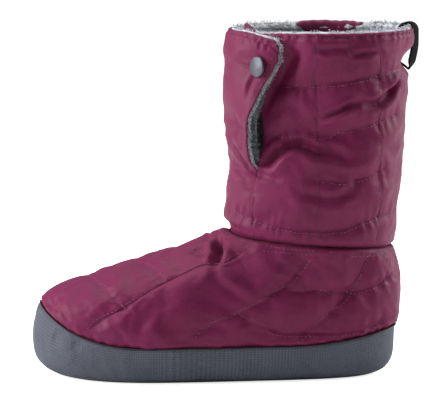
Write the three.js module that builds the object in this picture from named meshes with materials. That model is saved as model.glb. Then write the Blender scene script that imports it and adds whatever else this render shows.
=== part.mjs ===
// A left down bootie: a tread pad, a textile rand, a quilted foot upper and a quilted shaft with a
// snapped vent, an insole and a webbing pull loop. Millimetres, +Z up, the toe towards -X and the
// outer side of the foot towards -Y. The origin is on the floor, halfway along the sole.
import * as THREE from "three";
import { mergeVertices } from "three/addons/utils/BufferGeometryUtils.js";

// Driving dimensions of the sole and foot
const shoeLength = 283;
const ballWidth = 106;
const soleThickness = 12;
const toeSpring = 6;
const heelSpring = 3;
const archRise = 1.2;
const randThickness = 2;
const randSideHeight = 27.5;
const randToeHeight = 57;
const randHeelHeight = 38;
const insoleThickness = 5;

// Driving dimensions of the ankle and shaft
const ankleSetback = 68.5; // from the back of the heel to the middle of the ankle
const ankleFrontHeight = 113.5;
const ankleBackHeight = 100;
const collarHeight = 266.5;
const shaftLength = 143; // toe to heel, at the collar
const shaftWidth = 106; // side to side, at the collar
const paddedWall = 7.5; // shell, down and fleece together
const seamGap = 0.3; // what pieces that meet leave between them

// The vent in the outer front of the shaft, and the snap that closes it
const ventAngle = 45; // degrees from the front of the shaft, round the outer side
const ventBottomHeight = 160;
const ventOpening = 4.5; // how far the edges part just above the bottom of the vent
const ventLift = 3; // how far the flap stands out where it is open
const flapReach = 22; // how far the flap's top corner runs back past the vent line
const underlapReach = 14; // how far the layer below runs forward of the vent line
const flapDroop = 0.42; // how far the flap's top corner hangs, in shaft sections
const snapRadius = 8;
const snapRise = 2.6;
const snapStand = 0.7; // clears the curve of the cloth behind it
const snapDrop = 25.5; // from the collar to the snap's centre
const snapHeight = collarHeight - snapDrop;
const snapEdge = 15; // from the snap's centre to the flap's edge
const snapBackRadius = 6;
const snapBackRise = 1.2;

// The webbing pull loop at the back of the collar
const webbingWidth = 10;
const webbingThickness = 1.5;
const loopNotchDepth = 6.5; // how deep the sewn end pulls the back of the shaft in
const loopNotchDrop = 25; // from the collar to that end
const loopNotchHeight = collarHeight - loopNotchDrop;
const loopTwist = 34; // degrees that the free strap turns about its own length
const loopTwistAt = 0.55; // share of the strap's length
const loopTwistReach = 0.22;

const toeX = -shoeLength / 2;
const heelX = shoeLength / 2;
const ankleX = heelX - ankleSetback;
const degreesPerMillimetre = 180 / (Math.PI * (shaftLength + shaftWidth) / 4); // round the shaft

const named = (columns, row) => Object.fromEntries(row.map((value, i) => [columns[i], value]));

// Sections of the foot, from the tread's edge up to the last one below the ankle seam.
// front: share of the way from the toe to the ankle's front. frontUp: share of the ankle's front height.
// back: share of the shoe's length that the section stops short of the heel. backUp: share of the
// ankle's back height. outer, inner: half widths, shares of the ball width. widest: share of the shoe's
// length from the toe. tip: how far the toe turns in, share of the ball width. waist: how much of the
// waist's pinch it takes. lift: how much of the toe and heel spring. nose: fullness of the toe's curve.
// dip: below 1, the section drops from its front faster than it runs back.
const footColumns = [
  "front", "frontUp", "back", "backUp", "outer", "inner", "widest", "tip", "waist", "lift", "nose", "dip",
];
const footSections = [
  [0.12, 0, 0.068, 0, 0.4, 0.38, 0.36, 0.07, 1, 0.5, 2.3, 1],
  [0.046, 0.028, 0.028, 0.031, 0.468, 0.448, 0.36, 0.075, 1, 0.9, 2.3, 1],
  [0.012, 0.107, 0.01, 0.121, 0.498, 0.476, 0.36, 0.078, 0.95, 0.6, 2.3, 1],
  [0, 0.244, 0.006, 0.249, 0.506, 0.482, 0.36, 0.08, 0.85, 0, 2.3, 1],
  [0.012, 0.374, 0.003, 0.375, 0.508, 0.486, 0.36, 0.08, 0.65, 0, 2.25, 1],
  [0.05, 0.503, -0.001, 0.49, 0.5, 0.48, 0.37, 0.075, 0.45, 0, 2.2, 1],
  [0.15, 0.59, -0.002, 0.605, 0.478, 0.462, 0.41, 0.068, 0.25, 0, 2.15, 1],
  [0.34, 0.687, -0.001, 0.715, 0.455, 0.445, 0.5, 0.05, 0.1, 0, 2.1, 1],
  [0.56, 0.78, 0.005, 0.815, 0.44, 0.434, 0.6, 0.032, 0, 0, 2.05, 1],
  [0.79, 0.877, 0.011, 0.91, 0.436, 0.432, 0.7, 0.014, 0, 0, 2.05, 0.8],
].map((row) => named(footColumns, row));

// Sections of the shaft, from the ankle seam to the collar.
// ahead, behind: from the middle of the ankle, shares of the shaft's length. frontUp, backUp: shares of
// the way from the ankle seam to the collar. outer, inner: half widths, shares of the shaft's width.
const shaftColumns = ["ahead", "behind", "frontUp", "backUp", "outer", "inner", "dip"];
const shaftSections = [
  [0.441, 0.441, 0, 0, 0.44, 0.436, 0.55],
  [0.45, 0.456, 0.062, 0.08, 0.468, 0.464, 0.75],
  [0.437, 0.474, 0.19, 0.22, 0.48, 0.476, 1],
  [0.427, 0.486, 0.325, 0.37, 0.485, 0.481, 1],
  [0.443, 0.5, 0.478, 0.528, 0.491, 0.487, 1],
  [0.453, 0.515, 0.69, 0.71, 0.496, 0.492, 1],
  [0.446, 0.524, 0.816, 0.81, 0.498, 0.494, 1],
  [0.452, 0.538, 0.908, 0.905, 0.502, 0.5, 1],
  [0.43, 0.549, 1, 1, 0.5, 0.5, 1],
].map((row) => named(shaftColumns, row));

const ankleLevel = footSections.length;
const collarLevel = ankleLevel + shaftSections.length - 1;
const soleLevel = 2; // the foot section at the top of the tread pad
const frontOfAnkleX = ankleX - shaftSections[0].ahead * shaftLength;

// Large folds that the cloth keeps. level counts the sections from the tread, angle is degrees from the
// front round the outer side, depth is in millimetres, and the reaches say where the fold fades out.
const folds = [
  { level: 16.45, angle: 180, depth: loopNotchDepth, levels: 0.8, degrees: 24 },
  { level: 9.25, angle: 22, depth: 6, levels: 0.55, degrees: 15 },
  { level: 9.55, angle: 3, depth: -2.5, levels: 0.4, degrees: 24 },
  { level: 14.2, angle: 80, depth: 2.5, levels: 0.35, degrees: 30 },
  { level: 15.2, angle: 140, depth: 3, levels: 0.4, degrees: 20 },
];

const radians = THREE.MathUtils.degToRad;
const mix = THREE.MathUtils.lerp;
const smooth = (t) => THREE.MathUtils.smoothstep(t, 0, 1);
const hump = (t) => (Math.abs(t) < 1 ? 0.5 + 0.5 * Math.cos(Math.PI * t) : 0);
const turn = (degrees) => ((((degrees + 180) % 360) + 360) % 360) - 180;

function footRing(s) {
  return {
    frontX: mix(toeX, frontOfAnkleX, s.front),
    frontZ: s.frontUp * ankleFrontHeight,
    backX: heelX - s.back * shoeLength,
    backZ: s.backUp * ankleBackHeight,
    outer: s.outer * ballWidth,
    inner: s.inner * ballWidth,
    widestX: mix(toeX, heelX, s.widest),
    tip: s.tip * ballWidth,
    waist: s.waist,
    lift: s.lift,
    nose: s.nose,
    heel: 2.5,
    dip: s.dip,
  };
}

function shaftRing(s) {
  return {
    frontX: ankleX - s.ahead * shaftLength,
    frontZ: mix(ankleFrontHeight, collarHeight, s.frontUp),
    backX: ankleX + s.behind * shaftLength,
    backZ: mix(ankleBackHeight, collarHeight, s.backUp),
    outer: s.outer * shaftWidth,
    inner: s.inner * shaftWidth,
    widestX: ankleX + ((s.behind - s.ahead) / 2) * shaftLength,
    tip: 0,
    waist: 0,
    lift: 0,
    nose: 2.1,
    heel: 2.15,
    dip: s.dip,
  };
}

const rings = [...footSections.map(footRing), ...shaftSections.map(shaftRing)];
const ringColumns = Object.keys(rings[0]);

// A ring between two sections, each of its columns on a smooth curve through the table.
function ringAt(level) {
  const i = Math.min(Math.max(Math.floor(level), 0), rings.length - 2);
  const t = level - i;
  const near = [i - 1, i, i + 1, i + 2].map((k) => rings[Math.min(Math.max(k, 0), rings.length - 1)]);
  const ring = {};
  for (const name of ringColumns) {
    const [a, b, c, d] = near.map((r) => r[name]);
    const bend = 2 * a - 5 * b + 4 * c - d + t * (3 * b - a - 3 * c + d);
    ring[name] = b + 0.5 * t * (c - a + t * bend);
  }
  return ring;
}

// How far the tread leaves the floor at the toe, the heel and the arch.
const springStart = 0.23;
const heelSpringStart = 0.85;
const archAt = 0.66;
const archReach = 0.14;
function springAt(x) {
  const share = (x - toeX) / shoeLength;
  const toe = toeSpring * Math.max(0, (springStart - share) / springStart) ** 2;
  const heel = heelSpring * Math.max(0, (share - heelSpringStart) / (1 - heelSpringStart)) ** 2;
  return toe + heel;
}
const archAtX = (x) => archRise * hump(((x - toeX) / shoeLength - archAt) / archReach);

// A point of the bootie's outer form: level counts the sections, angle is degrees from the front.
const waistAt = 0.62;
const waistReach = 0.17;
const waistPinchOuter = 0.07;
const waistPinchInner = 0.15;
const tipFade = 1.6; // how fast the toe's turn fades towards the widest part
function form(level, angle) {
  const r = ringAt(level);
  const c = Math.cos(radians(angle));
  const s = Math.sin(radians(angle));
  const onOuter = s >= 0;
  const run = c > 0 ? r.widestX - r.frontX : r.backX - r.widestX;
  const full = c > 0 ? r.nose : r.heel;
  const x = r.widestX - Math.sign(c) * run * Math.abs(c) ** (2 / full);
  const share = (x - toeX) / shoeLength;
  const pinch = (onOuter ? waistPinchOuter : waistPinchInner) * r.waist;
  const narrow = 1 - pinch * Math.exp(-(((share - waistAt) / waistReach) ** 2));
  const half = (onOuter ? r.outer : r.inner) * Math.abs(s) ** (2 / full) * narrow;
  const ahead = c > 0 ? Math.abs(c) ** tipFade : 0;
  const y = (onOuter ? -half : half) + r.tip * ahead;
  const along = Math.max(0, (x - r.frontX) / (r.backX - r.frontX));
  const z = mix(r.frontZ, r.backZ, along ** r.dip);
  return new THREE.Vector3(x, y, z + r.lift * springAt(x));
}

const levelStep = 0.03;
const angleStep = 1.5;
function outward(level, angle) {
  const up = form(Math.min(level + levelStep, collarLevel), angle);
  const down = form(Math.max(level - levelStep, 0), angle);
  const on = form(level, angle + angleStep);
  const back = form(level, angle - angleStep);
  return on.sub(back).cross(up.sub(down)).normalize();
}

// The form moved outward by a distance, with the large folds in it.
function cloth(level, angle, offset) {
  let depth = 0;
  for (const f of folds) {
    depth += f.depth * hump((level - f.level) / f.levels) * hump(turn(angle - f.angle) / f.degrees);
  }
  return form(level, angle).addScaledVector(outward(level, angle), offset - depth);
}

// The level at which the form reaches a height, at one angle.
function levelAtHeight(height, angle, low = 0, high = collarLevel) {
  for (let i = 0; i < 30; i++) {
    const middle = (low + high) / 2;
    if (form(middle, angle).z < height) low = middle;
    else high = middle;
  }
  return (low + high) / 2;
}

// A closed mesh from two grids of points, the outer and the inner face of one wall. Below slitRow the
// wall closes on itself all round; above it the two ends stay apart.
function shell(outer, inner, slitRow = outer.length - 1) {
  const positions = [];
  const put = (...points) => points.forEach((p) => positions.push(p.x, p.y, p.z));
  const quad = (a, b, c, d) => put(a, b, c, a, c, d);
  const top = outer.length - 1;
  const last = outer[0].length - 1;
  for (let j = 0; j < top; j++) {
    for (let i = 0; i < last; i++) {
      quad(outer[j][i], outer[j][i + 1], outer[j + 1][i + 1], outer[j + 1][i]);
      quad(inner[j][i + 1], inner[j][i], inner[j + 1][i], inner[j + 1][i + 1]);
    }
  }
  for (let i = 0; i < last; i++) {
    quad(outer[0][i + 1], outer[0][i], inner[0][i], inner[0][i + 1]);
    quad(outer[top][i], outer[top][i + 1], inner[top][i + 1], inner[top][i]);
  }
  for (let j = slitRow; j < top; j++) {
    quad(outer[j][0], outer[j + 1][0], inner[j + 1][0], inner[j][0]);
    quad(outer[j + 1][last], outer[j][last], inner[j][last], inner[j + 1][last]);
  }
  return weld(positions);
}

// A closed mesh through a stack of rings whose first and last fold flat onto a line.
function plug(stack) {
  const positions = [];
  const put = (...points) => points.forEach((p) => positions.push(p.x, p.y, p.z));
  for (let j = 0; j < stack.length - 1; j++) {
    for (let i = 0; i < stack[j].length - 1; i++) {
      const [a, b, c, d] = [stack[j][i], stack[j][i + 1], stack[j + 1][i + 1], stack[j + 1][i]];
      put(a, b, c, a, c, d);
    }
  }
  return weld(positions);
}

const weldDistance = 1e-3;
function weld(positions) {
  const loose = new THREE.BufferGeometry();
  loose.setAttribute("position", new THREE.Float32BufferAttribute(positions, 3));
  const merged = mergeVertices(loose, weldDistance);
  const kept = [];
  for (let i = 0; i < merged.index.count; i += 3) {
    const [a, b, c] = [0, 1, 2].map((k) => merged.index.getX(i + k));
    if (a !== b && b !== c && c !== a) kept.push(a, b, c);
  }
  merged.setIndex(kept);
  merged.computeVertexNormals();
  return merged;
}

function piece(name, geometry, finish) {
  const mesh = new THREE.Mesh(geometry, new THREE.MeshStandardMaterial(finish));
  mesh.name = name;
  return mesh;
}

const burgundyNylon = { color: 0x7a2c4c, roughness: 0.5, metalness: 0 };
const greyCanvas = { color: 0x5b5f6e, roughness: 0.8, metalness: 0 };
const darkRubber = { color: 0x33353b, roughness: 0.9, metalness: 0 };
const greyFleece = { color: 0x8d929c, roughness: 1, metalness: 0 };
const blackWebbing = { color: 0x141416, roughness: 0.8, metalness: 0 };
const satinMetal = { color: 0xa9adb5, roughness: 0.35, metalness: 0.9 };

const around = 50;
const fullTurn = Array.from({ length: around + 1 }, (_, i) => (i * 360) / around);

// The rand's upper edge: high over the toe, low along the sides, a little higher at the heel.
const randToeReach = 0.34;
const randHeelReach = 0.3;
function randTopLevel(angle) {
  const share = (form(4, angle).x - toeX) / shoeLength;
  const toe = (randToeHeight - randSideHeight) * Math.max(0, 1 - share / randToeReach) ** 2.6;
  const heel = (randHeelHeight - randSideHeight) * Math.max(0, 1 - (1 - share) / randHeelReach) ** 1.8;
  return levelAtHeight(randSideHeight + toe + heel, angle);
}
const backedBy = randThickness + seamGap; // from the form in to what the rand covers

// Rows that the rand shares with what it covers, so that their faces stay parallel.
const randLip = 0.16;
const padRows = [0.55, 1.1, 1.6];
const padTopLevel = soleLevel - 0.13; // where the rand's inner face is as high as the pad's top
const upperFoot = soleLevel - 0.08;
const coveredShares = [0.25, 0.5, 0.75];
const coveredRow = (share) => (angle) => mix(upperFoot, randTopLevel(angle), share);

// Rings from a line along the middle of the foot out to an edge, at heights that follow x.
const middleEnds = 0.2; // the line stops this share of the length short of the toe and the heel
const fillShares = [0, 0.35, 0.7, 1];
function fill(edge, height) {
  return fillShares.map((share) =>
    fullTurn.map((angle) => {
      const line = new THREE.Vector3(form(0, angle).x, 0, 0);
      line.x = THREE.MathUtils.clamp(line.x, toeX + middleEnds * shoeLength, heelX - middleEnds * shoeLength);
      const p = line.lerp(edge(angle), share);
      return p.setZ(height(p));
    }),
  );
}

// The tread pad: flat on the floor under the ball and the heel, its edge tucked inside the rand.
const treadInset = 0.97; // share of the form's lowest section
const treadSpringShare = 0.5;
const treadClearance = 0.4; // more room beside the rand's turned-under edge
const bedSpringShare = 0.6; // how much of the spring the pad's top and the insole take
const bedHeight = (p) => soleThickness + bedSpringShare * springAt(p.x);
function treadPad() {
  const tread = (p) => treadSpringShare * springAt(p.x) + archAtX(p.x);
  const edge = (angle) => cloth(0, angle, 0).multiply(new THREE.Vector3(treadInset, treadInset, 1));
  const lip = fullTurn.map((angle) => {
    const p = edge(angle);
    return p.setZ(tread(p) + randThickness + seamGap);
  });
  const room = (level) => backedBy + (level < 1 ? treadClearance : 0);
  const side = padRows.map((level) => fullTurn.map((angle) => cloth(level, angle, -room(level))));
  const top = fill((angle) => cloth(padTopLevel, angle, -backedBy), bedHeight).reverse();
  return plug([...fill(edge, tread), lip, ...side, ...top]);
}

// The rand: one strip of coated canvas that starts under the sole's edge and climbs its side.
function rand() {
  const low = [randLip, ...padRows].map((level) => () => level);
  const rows = [...low, ...[0, ...coveredShares, 1].map(coveredRow)];
  const face = (offset) => rows.map((row) => fullTurn.map((angle) => cloth(row(angle), angle, offset)));
  return shell(face(0), face(-randThickness));
}

// The foot upper: inside the rand below, then stepping out over it and up to the ankle seam.
const upperPuff = 0.4;
const stepStart = 0.03; // levels above the rand's edge
const stepEnd = 0.06;
const upperClimbs = [0.09, 0.18, 0.28, 0.39, 0.5, 0.62, 0.73, 0.83, 0.92];
function upper() {
  const outer = [];
  const inner = [];
  const add = (row, out, wall) => {
    outer.push(fullTurn.map((angle) => cloth(row(angle), angle, out)));
    inner.push(fullTurn.map((angle) => cloth(row(angle), angle, out - wall)));
  };
  const stepOut = backedBy + upperPuff;
  [0, ...coveredShares].forEach((share) => add(coveredRow(share), -backedBy, paddedWall));
  add((angle) => randTopLevel(angle) + stepStart, -backedBy, paddedWall);
  add((angle) => randTopLevel(angle) + stepEnd, upperPuff, paddedWall + stepOut);
  for (const climb of upperClimbs) {
    const thinner = paddedWall + stepOut * (1 - smooth(climb * 3));
    add((angle) => mix(randTopLevel(angle), ankleLevel, climb), upperPuff, thinner);
  }
  add(() => ankleLevel, 0, paddedWall);
  const onPad = (p) => p.setZ(bedHeight(p) + seamGap);
  outer[0].forEach(onPad);
  inner[0].forEach(onPad);
  return shell(outer, inner);
}

// Where the vent's two edges run at a height, and how far apart in depth the layers lie. The heights
// here are millimetres above the vent's bottom.
const partedBy = 14; // the edges have parted fully
const closingFrom = 30; // the edges draw together again
const closingBy = 52;
const lapFrom = 38; // the flap starts to cover the layer below
const lapShort = 10; // it covers it fully this far below the collar
const tuckedBy = 30; // the layer below lies a full wall deeper
const liftedBy = 24; // the flap stands out fully
const liftedTo = 60; // and starts to lie flat again
const flapPart = 0.4; // the flap's share of the parting
const between = (value, from, to) => smooth((value - from) / (to - from));
function vent(height) {
  const open = Math.max(0, height - ventBottomHeight);
  const rise = collarHeight - ventBottomHeight;
  const parted = ventOpening * smooth(open / partedBy) * (1 - between(open, closingFrom, closingBy));
  const lapped = between(open, lapFrom, rise - lapShort);
  return {
    lapped,
    flap: (flapReach * lapped - parted * flapPart) * degreesPerMillimetre,
    under: (underlapReach * lapped - parted * (1 - flapPart)) * degreesPerMillimetre,
    tuck: (paddedWall + 3 * seamGap) * smooth(open / tuckedBy),
    lift: ventLift * smooth(open / liftedBy) * (1 - between(open, liftedTo, rise)),
  };
}

const tuckFade = 44; // degrees over which the tucked side returns to the form
const liftFade = 30; // degrees over which the lifted flap does
const droopFade = 36; // degrees over which the drooping corner does
const tuckedFlat = 30; // degrees of the layer below that stay fully tucked, beside its own edge
const edgeRows = 0.35; // how much closer the points stand at the edges

// A row of the shaft at one level: points from the layer below, right round to the flap's edge.
const roundShaft = Array.from({ length: around + 1 }, (_, i) => i / around);
function shaftRow(level, offset) {
  const height = form(level, ventAngle).z;
  const v = vent(height);
  const start = ventAngle - v.under;
  const end = ventAngle + 360 + v.flap;
  const bunch = (t) => mix(t, 0.5 - 0.5 * Math.cos(Math.PI * t), edgeRows);
  return roundShaft.map((t) => {
    const angle = mix(start, end, bunch(t));
    const below = 1 - smooth((angle - start - tuckedFlat) / tuckFade);
    const flap = 1 - smooth((end - angle) / liftFade);
    const droop = flapDroop * (1 - smooth((end - angle) / droopFade)) * v.lapped;
    return cloth(level - droop, angle, offset - v.tuck * below + v.lift * flap);
  });
}

// The shaft: a tube from the ankle seam to the collar, open along the vent, with the flap over it.
const tubeRows = [0.035, 0.3, 0.75, 1.3, 1.9, 2.4]; // levels above the ankle seam
const ventRows = [0.05, 0.11, 0.18, 0.26, 0.35, 0.45, 0.55, 0.65, 0.74, 0.82, 0.9, 0.96, 1]; // shares
const leastRow = 0.1; // levels between the last of the tube's rows and the vent's bottom
function shaft() {
  const ventLevel = levelAtHeight(ventBottomHeight, ventAngle);
  const below = tubeRows.map((up) => ankleLevel + up).filter((level) => level < ventLevel - leastRow);
  const levels = [...below, ventLevel, ...ventRows.map((share) => mix(ventLevel, collarLevel, share))];
  const outer = levels.map((level) => shaftRow(level, 0));
  const inner = levels.map((level) => shaftRow(level, -paddedWall));
  return shell(outer, inner, below.length);
}

// The insole: a flat footbed on the tread pad, inside the upper.
const insoleClearance = 1.5;
const insoleLevel = soleLevel + 0.1;
function insole() {
  const edge = (angle) => cloth(insoleLevel, angle, -(backedBy + paddedWall + insoleClearance));
  const layer = (lift) => fill(edge, (p) => bedHeight(p) + lift);
  return plug([...layer(seamGap), ...layer(seamGap + insoleThickness).reverse()]);
}

// A disc with a rounded face, its flat back at the origin and its face towards +Z.
const buttonSides = 32;
const buttonProfile = [
  { out: 0, up: 0 },
  { out: 0.93, up: 0 },
  { out: 1, up: 0.25 },
  { out: 0.97, up: 0.55 },
  { out: 0.82, up: 0.82 },
  { out: 0.45, up: 0.97 },
  { out: 0, up: 1 },
];
function button(radius, rise) {
  const profile = buttonProfile.map((p) => new THREE.Vector2(p.out * radius, p.up * rise));
  const lathe = new THREE.LatheGeometry(profile, buttonSides);
  lathe.rotateX(Math.PI / 2);
  lathe.deleteAttribute("normal");
  lathe.deleteAttribute("uv");
  return weld(lathe.toNonIndexed().attributes.position.array);
}

// A point of the shaft's wall at a height and an angle past the vent line, and its outward direction.
const probe = 3; // millimetres up and degrees round
function wallPoint(height, pastVent, offset, side) {
  const at = (up, past) => {
    const level = levelAtHeight(up, ventAngle + past);
    const v = vent(form(level, ventAngle).z);
    const lift = side === "flap" ? v.lift * (1 - smooth((v.flap - past) / liftFade)) : -v.tuck;
    return cloth(level, ventAngle + past, offset + lift);
  };
  const up = at(height + probe, pastVent).sub(at(height - probe, pastVent));
  const on = at(height, pastVent + probe).sub(at(height, pastVent - probe));
  return { point: at(height, pastVent), normal: on.cross(up).normalize() };
}

function placed(mesh, { point, normal }) {
  mesh.position.copy(point);
  mesh.quaternion.setFromUnitVectors(new THREE.Vector3(0, 0, 1), normal);
  return mesh;
}

// The snap: the cap on the flap, and the back of its stud inside the layer below.
function snap() {
  const past = vent(snapHeight).flap - snapEdge * degreesPerMillimetre;
  const cap = piece("snap_cap", button(snapRadius, snapRise), satinMetal);
  const back = piece("snap_back", button(snapBackRadius, snapBackRise), satinMetal);
  const inside = wallPoint(snapHeight, past, -paddedWall - 3 * seamGap, "below");
  inside.normal.negate();
  return [placed(cap, wallPoint(snapHeight, past, snapStand, "flap")), placed(back, inside)];
}

// The pull loop: one webbing strap, sewn inside the collar, over it, down and back up to the notch.
// out: millimetres from the shaft's outer face, inwards if negative. up: millimetres from the notch,
// or from the collar where over is true.
const loopRoute = [
  { over: true, up: -13, out: -1.9, face: "inside" },
  { over: true, up: -7, out: -1.9, face: "inside" },
  { over: true, up: 0.5, out: -2.2, face: "inside" },
  { over: true, up: 3.6, out: -4.6, face: "rim" },
  { over: true, up: 3.3, out: -0.8, face: "rim" },
  { over: true, up: 0.2, out: 1.6, face: "rim" },
  { over: true, up: -6, out: 1.9, face: "rim" },
  { over: true, up: -15, out: 1.7, face: "rim" },
  { over: true, up: -24, out: 0, face: "rim" },
  { over: true, up: -29, out: -1.3, face: "rim" },
  { over: true, up: -31.2, out: -2.9, face: "rim" },
  { over: false, up: -4.5, out: 4, face: "outside" },
  { over: false, up: 0, out: 2.5, face: "outside" },
  { over: false, up: 4.5, out: 2.6, face: "outside" },
];

const strapSteps = 44;
function pullLoop() {
  const backAt = (height, offset) => cloth(levelAtHeight(height, 180), 180, offset);
  const points = loopRoute.map((r) => {
    const height = (r.over ? collarHeight : loopNotchHeight) + r.up;
    const rim = backAt(collarHeight, 0);
    const inside = backAt(Math.min(height, collarHeight), -paddedWall);
    const face = { inside, rim, outside: backAt(height, 0) }[r.face];
    return new THREE.Vector3(face.x + r.out, 0, height);
  });
  const path = new THREE.CatmullRomCurve3(points, false, "centripetal");
  const stack = [];
  for (let i = 0; i <= strapSteps; i++) {
    const t = i / strapSteps;
    const centre = path.getPointAt(t);
    const along = path.getTangentAt(t);
    const twist = radians(loopTwist) * hump((t - loopTwistAt) / loopTwistReach);
    const across = new THREE.Vector3(0, 1, 0).applyAxisAngle(along, twist);
    const out = new THREE.Vector3().crossVectors(across, along);
    const corner = (side, face) =>
      centre
        .clone()
        .addScaledVector(across, (side * webbingWidth) / 2)
        .addScaledVector(out, (face * webbingThickness) / 2);
    stack.push([corner(-1, -1), corner(-1, 1), corner(1, 1), corner(1, -1), corner(-1, -1)]);
  }
  const flat = (ring) => {
    const left = ring[0].clone().lerp(ring[1], 0.5);
    const right = ring[2].clone().lerp(ring[3], 0.5);
    return [left, left, right, right, left];
  };
  return plug([flat(stack[0]), ...stack, flat(stack[strapSteps])]);
}

const bootie = new THREE.Group();
bootie.add(piece("tread_pad", treadPad(), darkRubber));
bootie.add(piece("rand", rand(), greyCanvas));
bootie.add(piece("upper", upper(), burgundyNylon));
bootie.add(piece("shaft", shaft(), burgundyNylon));
bootie.add(piece("insole", insole(), greyFleece));
bootie.add(...snap());
bootie.add(piece("pull_loop", pullLoop(), blackWebbing));

export default bootie;
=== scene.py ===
import math
import random

import bmesh
import bpy
import numpy as np
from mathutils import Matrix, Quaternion, Vector, noise
from mathutils.bvhtree import BVHTree
from mathutils.kdtree import KDTree


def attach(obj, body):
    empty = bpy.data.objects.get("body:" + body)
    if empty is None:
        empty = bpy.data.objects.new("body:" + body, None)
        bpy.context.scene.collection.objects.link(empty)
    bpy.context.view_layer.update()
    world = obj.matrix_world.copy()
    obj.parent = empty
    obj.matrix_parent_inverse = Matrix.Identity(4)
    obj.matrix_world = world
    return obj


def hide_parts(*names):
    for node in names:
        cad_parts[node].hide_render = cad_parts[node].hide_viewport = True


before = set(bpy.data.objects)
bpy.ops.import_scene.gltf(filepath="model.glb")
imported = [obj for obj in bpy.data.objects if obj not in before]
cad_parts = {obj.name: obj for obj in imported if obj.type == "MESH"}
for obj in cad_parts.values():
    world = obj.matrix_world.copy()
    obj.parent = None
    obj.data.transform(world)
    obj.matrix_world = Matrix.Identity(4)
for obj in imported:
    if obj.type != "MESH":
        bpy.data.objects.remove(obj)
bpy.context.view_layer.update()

print("frame loaded")

# The bootie's sizes in metres: toe towards -X, outer side towards -Y, floor at Z 0
bootie = {
    "length": 0.283,
    "ballWidth": 0.106,
    "ankleSetback": 0.0685,  # back of the heel to the middle of the ankle
    "ankleFront": 0.1135,
    "ankleBack": 0.1,
    "collar": 0.2665,
    "shaftLength": 0.143,
    "shaftWidth": 0.106,
    "wall": 0.0075,
    "sole": 0.012,
    "toeSpring": 0.006,
    "heelSpring": 0.003,
    "rand": 0.002,  # thickness of the canvas
    "randSide": 0.0275,
    "randToe": 0.057,
    "randHeel": 0.038,
    "gap": 0.0003,
    "notchX": 0.139,  # where the pull loop's sewn end draws the back of the shaft in
    "notchZ": 0.2415,
}
toeX = -bootie["length"] / 2
heelX = bootie["length"] / 2
ankleX = heelX - bootie["ankleSetback"]

# One row for each section of the foot, from the tread's edge up, in shares of the sizes above:
# front, frontUp, back, backUp, outer, inner, widest, tip, waist, lift, nose, dip
footSections = [
    (0.12, 0, 0.068, 0, 0.4, 0.38, 0.36, 0.07, 1, 0.5, 2.3, 1),
    (0.046, 0.028, 0.028, 0.031, 0.468, 0.448, 0.36, 0.075, 1, 0.9, 2.3, 1),
    (0.012, 0.107, 0.01, 0.121, 0.498, 0.476, 0.36, 0.078, 0.95, 0.6, 2.3, 1),
    (0, 0.244, 0.006, 0.249, 0.506, 0.482, 0.36, 0.08, 0.85, 0, 2.3, 1),
    (0.012, 0.374, 0.003, 0.375, 0.508, 0.486, 0.36, 0.08, 0.65, 0, 2.25, 1),
    (0.05, 0.503, -0.001, 0.49, 0.5, 0.48, 0.37, 0.075, 0.45, 0, 2.2, 1),
    (0.15, 0.59, -0.002, 0.605, 0.478, 0.462, 0.41, 0.068, 0.25, 0, 2.15, 1),
    (0.34, 0.687, -0.001, 0.715, 0.455, 0.445, 0.5, 0.05, 0.1, 0, 2.1, 1),
    (0.56, 0.78, 0.005, 0.815, 0.44, 0.434, 0.6, 0.032, 0, 0, 2.05, 1),
    (0.79, 0.877, 0.011, 0.91, 0.436, 0.432, 0.7, 0.014, 0, 0, 2.05, 0.8),
]
# The shaft's, from the ankle seam to the collar: ahead, behind, frontUp, backUp, outer, inner, dip
shaftSections = [
    (0.441, 0.441, 0, 0, 0.44, 0.436, 0.55),
    (0.45, 0.456, 0.062, 0.08, 0.468, 0.464, 0.75),
    (0.437, 0.474, 0.19, 0.22, 0.48, 0.476, 1),
    (0.427, 0.486, 0.325, 0.37, 0.485, 0.481, 1),
    (0.443, 0.5, 0.478, 0.528, 0.491, 0.487, 1),
    (0.453, 0.515, 0.69, 0.71, 0.496, 0.492, 1),
    (0.446, 0.524, 0.816, 0.81, 0.498, 0.494, 1),
    (0.452, 0.538, 0.908, 0.905, 0.502, 0.5, 1),
    (0.43, 0.549, 1, 1, 0.5, 0.5, 1),
]
frontOfAnkleX = ankleX - shaftSections[0][0] * bootie["shaftLength"]
soleLevel = 2
levelRise = 0.0137  # metres that one level climbs near the collar
ankleLevel = len(footSections)
collarLevel = ankleLevel + len(shaftSections) - 1


def mix(a, b, t):
    return a + (b - a) * t


def smooth(t):
    t = np.clip(t, 0, 1)
    return t * t * (3 - 2 * t)


def hump(t):
    return np.where(np.abs(t) < 1, 0.5 + 0.5 * np.cos(np.pi * np.clip(t, -1, 1)), 0)


def footRing(row):
    front, frontUp, back, backUp, outer, inner, widest, tip, waist, lift, nose, dip = row
    return [
        mix(toeX, frontOfAnkleX, front), frontUp * bootie["ankleFront"],
        heelX - back * bootie["length"], backUp * bootie["ankleBack"],
        outer * bootie["ballWidth"], inner * bootie["ballWidth"],
        mix(toeX, heelX, widest), tip * bootie["ballWidth"], waist, lift, nose, 2.5, dip,
    ]


def shaftRing(row):
    ahead, behind, frontUp, backUp, outer, inner, dip = row
    long = bootie["shaftLength"]
    return [
        ankleX - ahead * long, mix(bootie["ankleFront"], bootie["collar"], frontUp),
        ankleX + behind * long, mix(bootie["ankleBack"], bootie["collar"], backUp),
        outer * bootie["shaftWidth"], inner * bootie["shaftWidth"],
        ankleX + (behind - ahead) / 2 * long, 0, 0, 0, 2.1, 2.15, dip,
    ]


rings = np.array([footRing(r) for r in footSections] + [shaftRing(r) for r in shaftSections])


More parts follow.
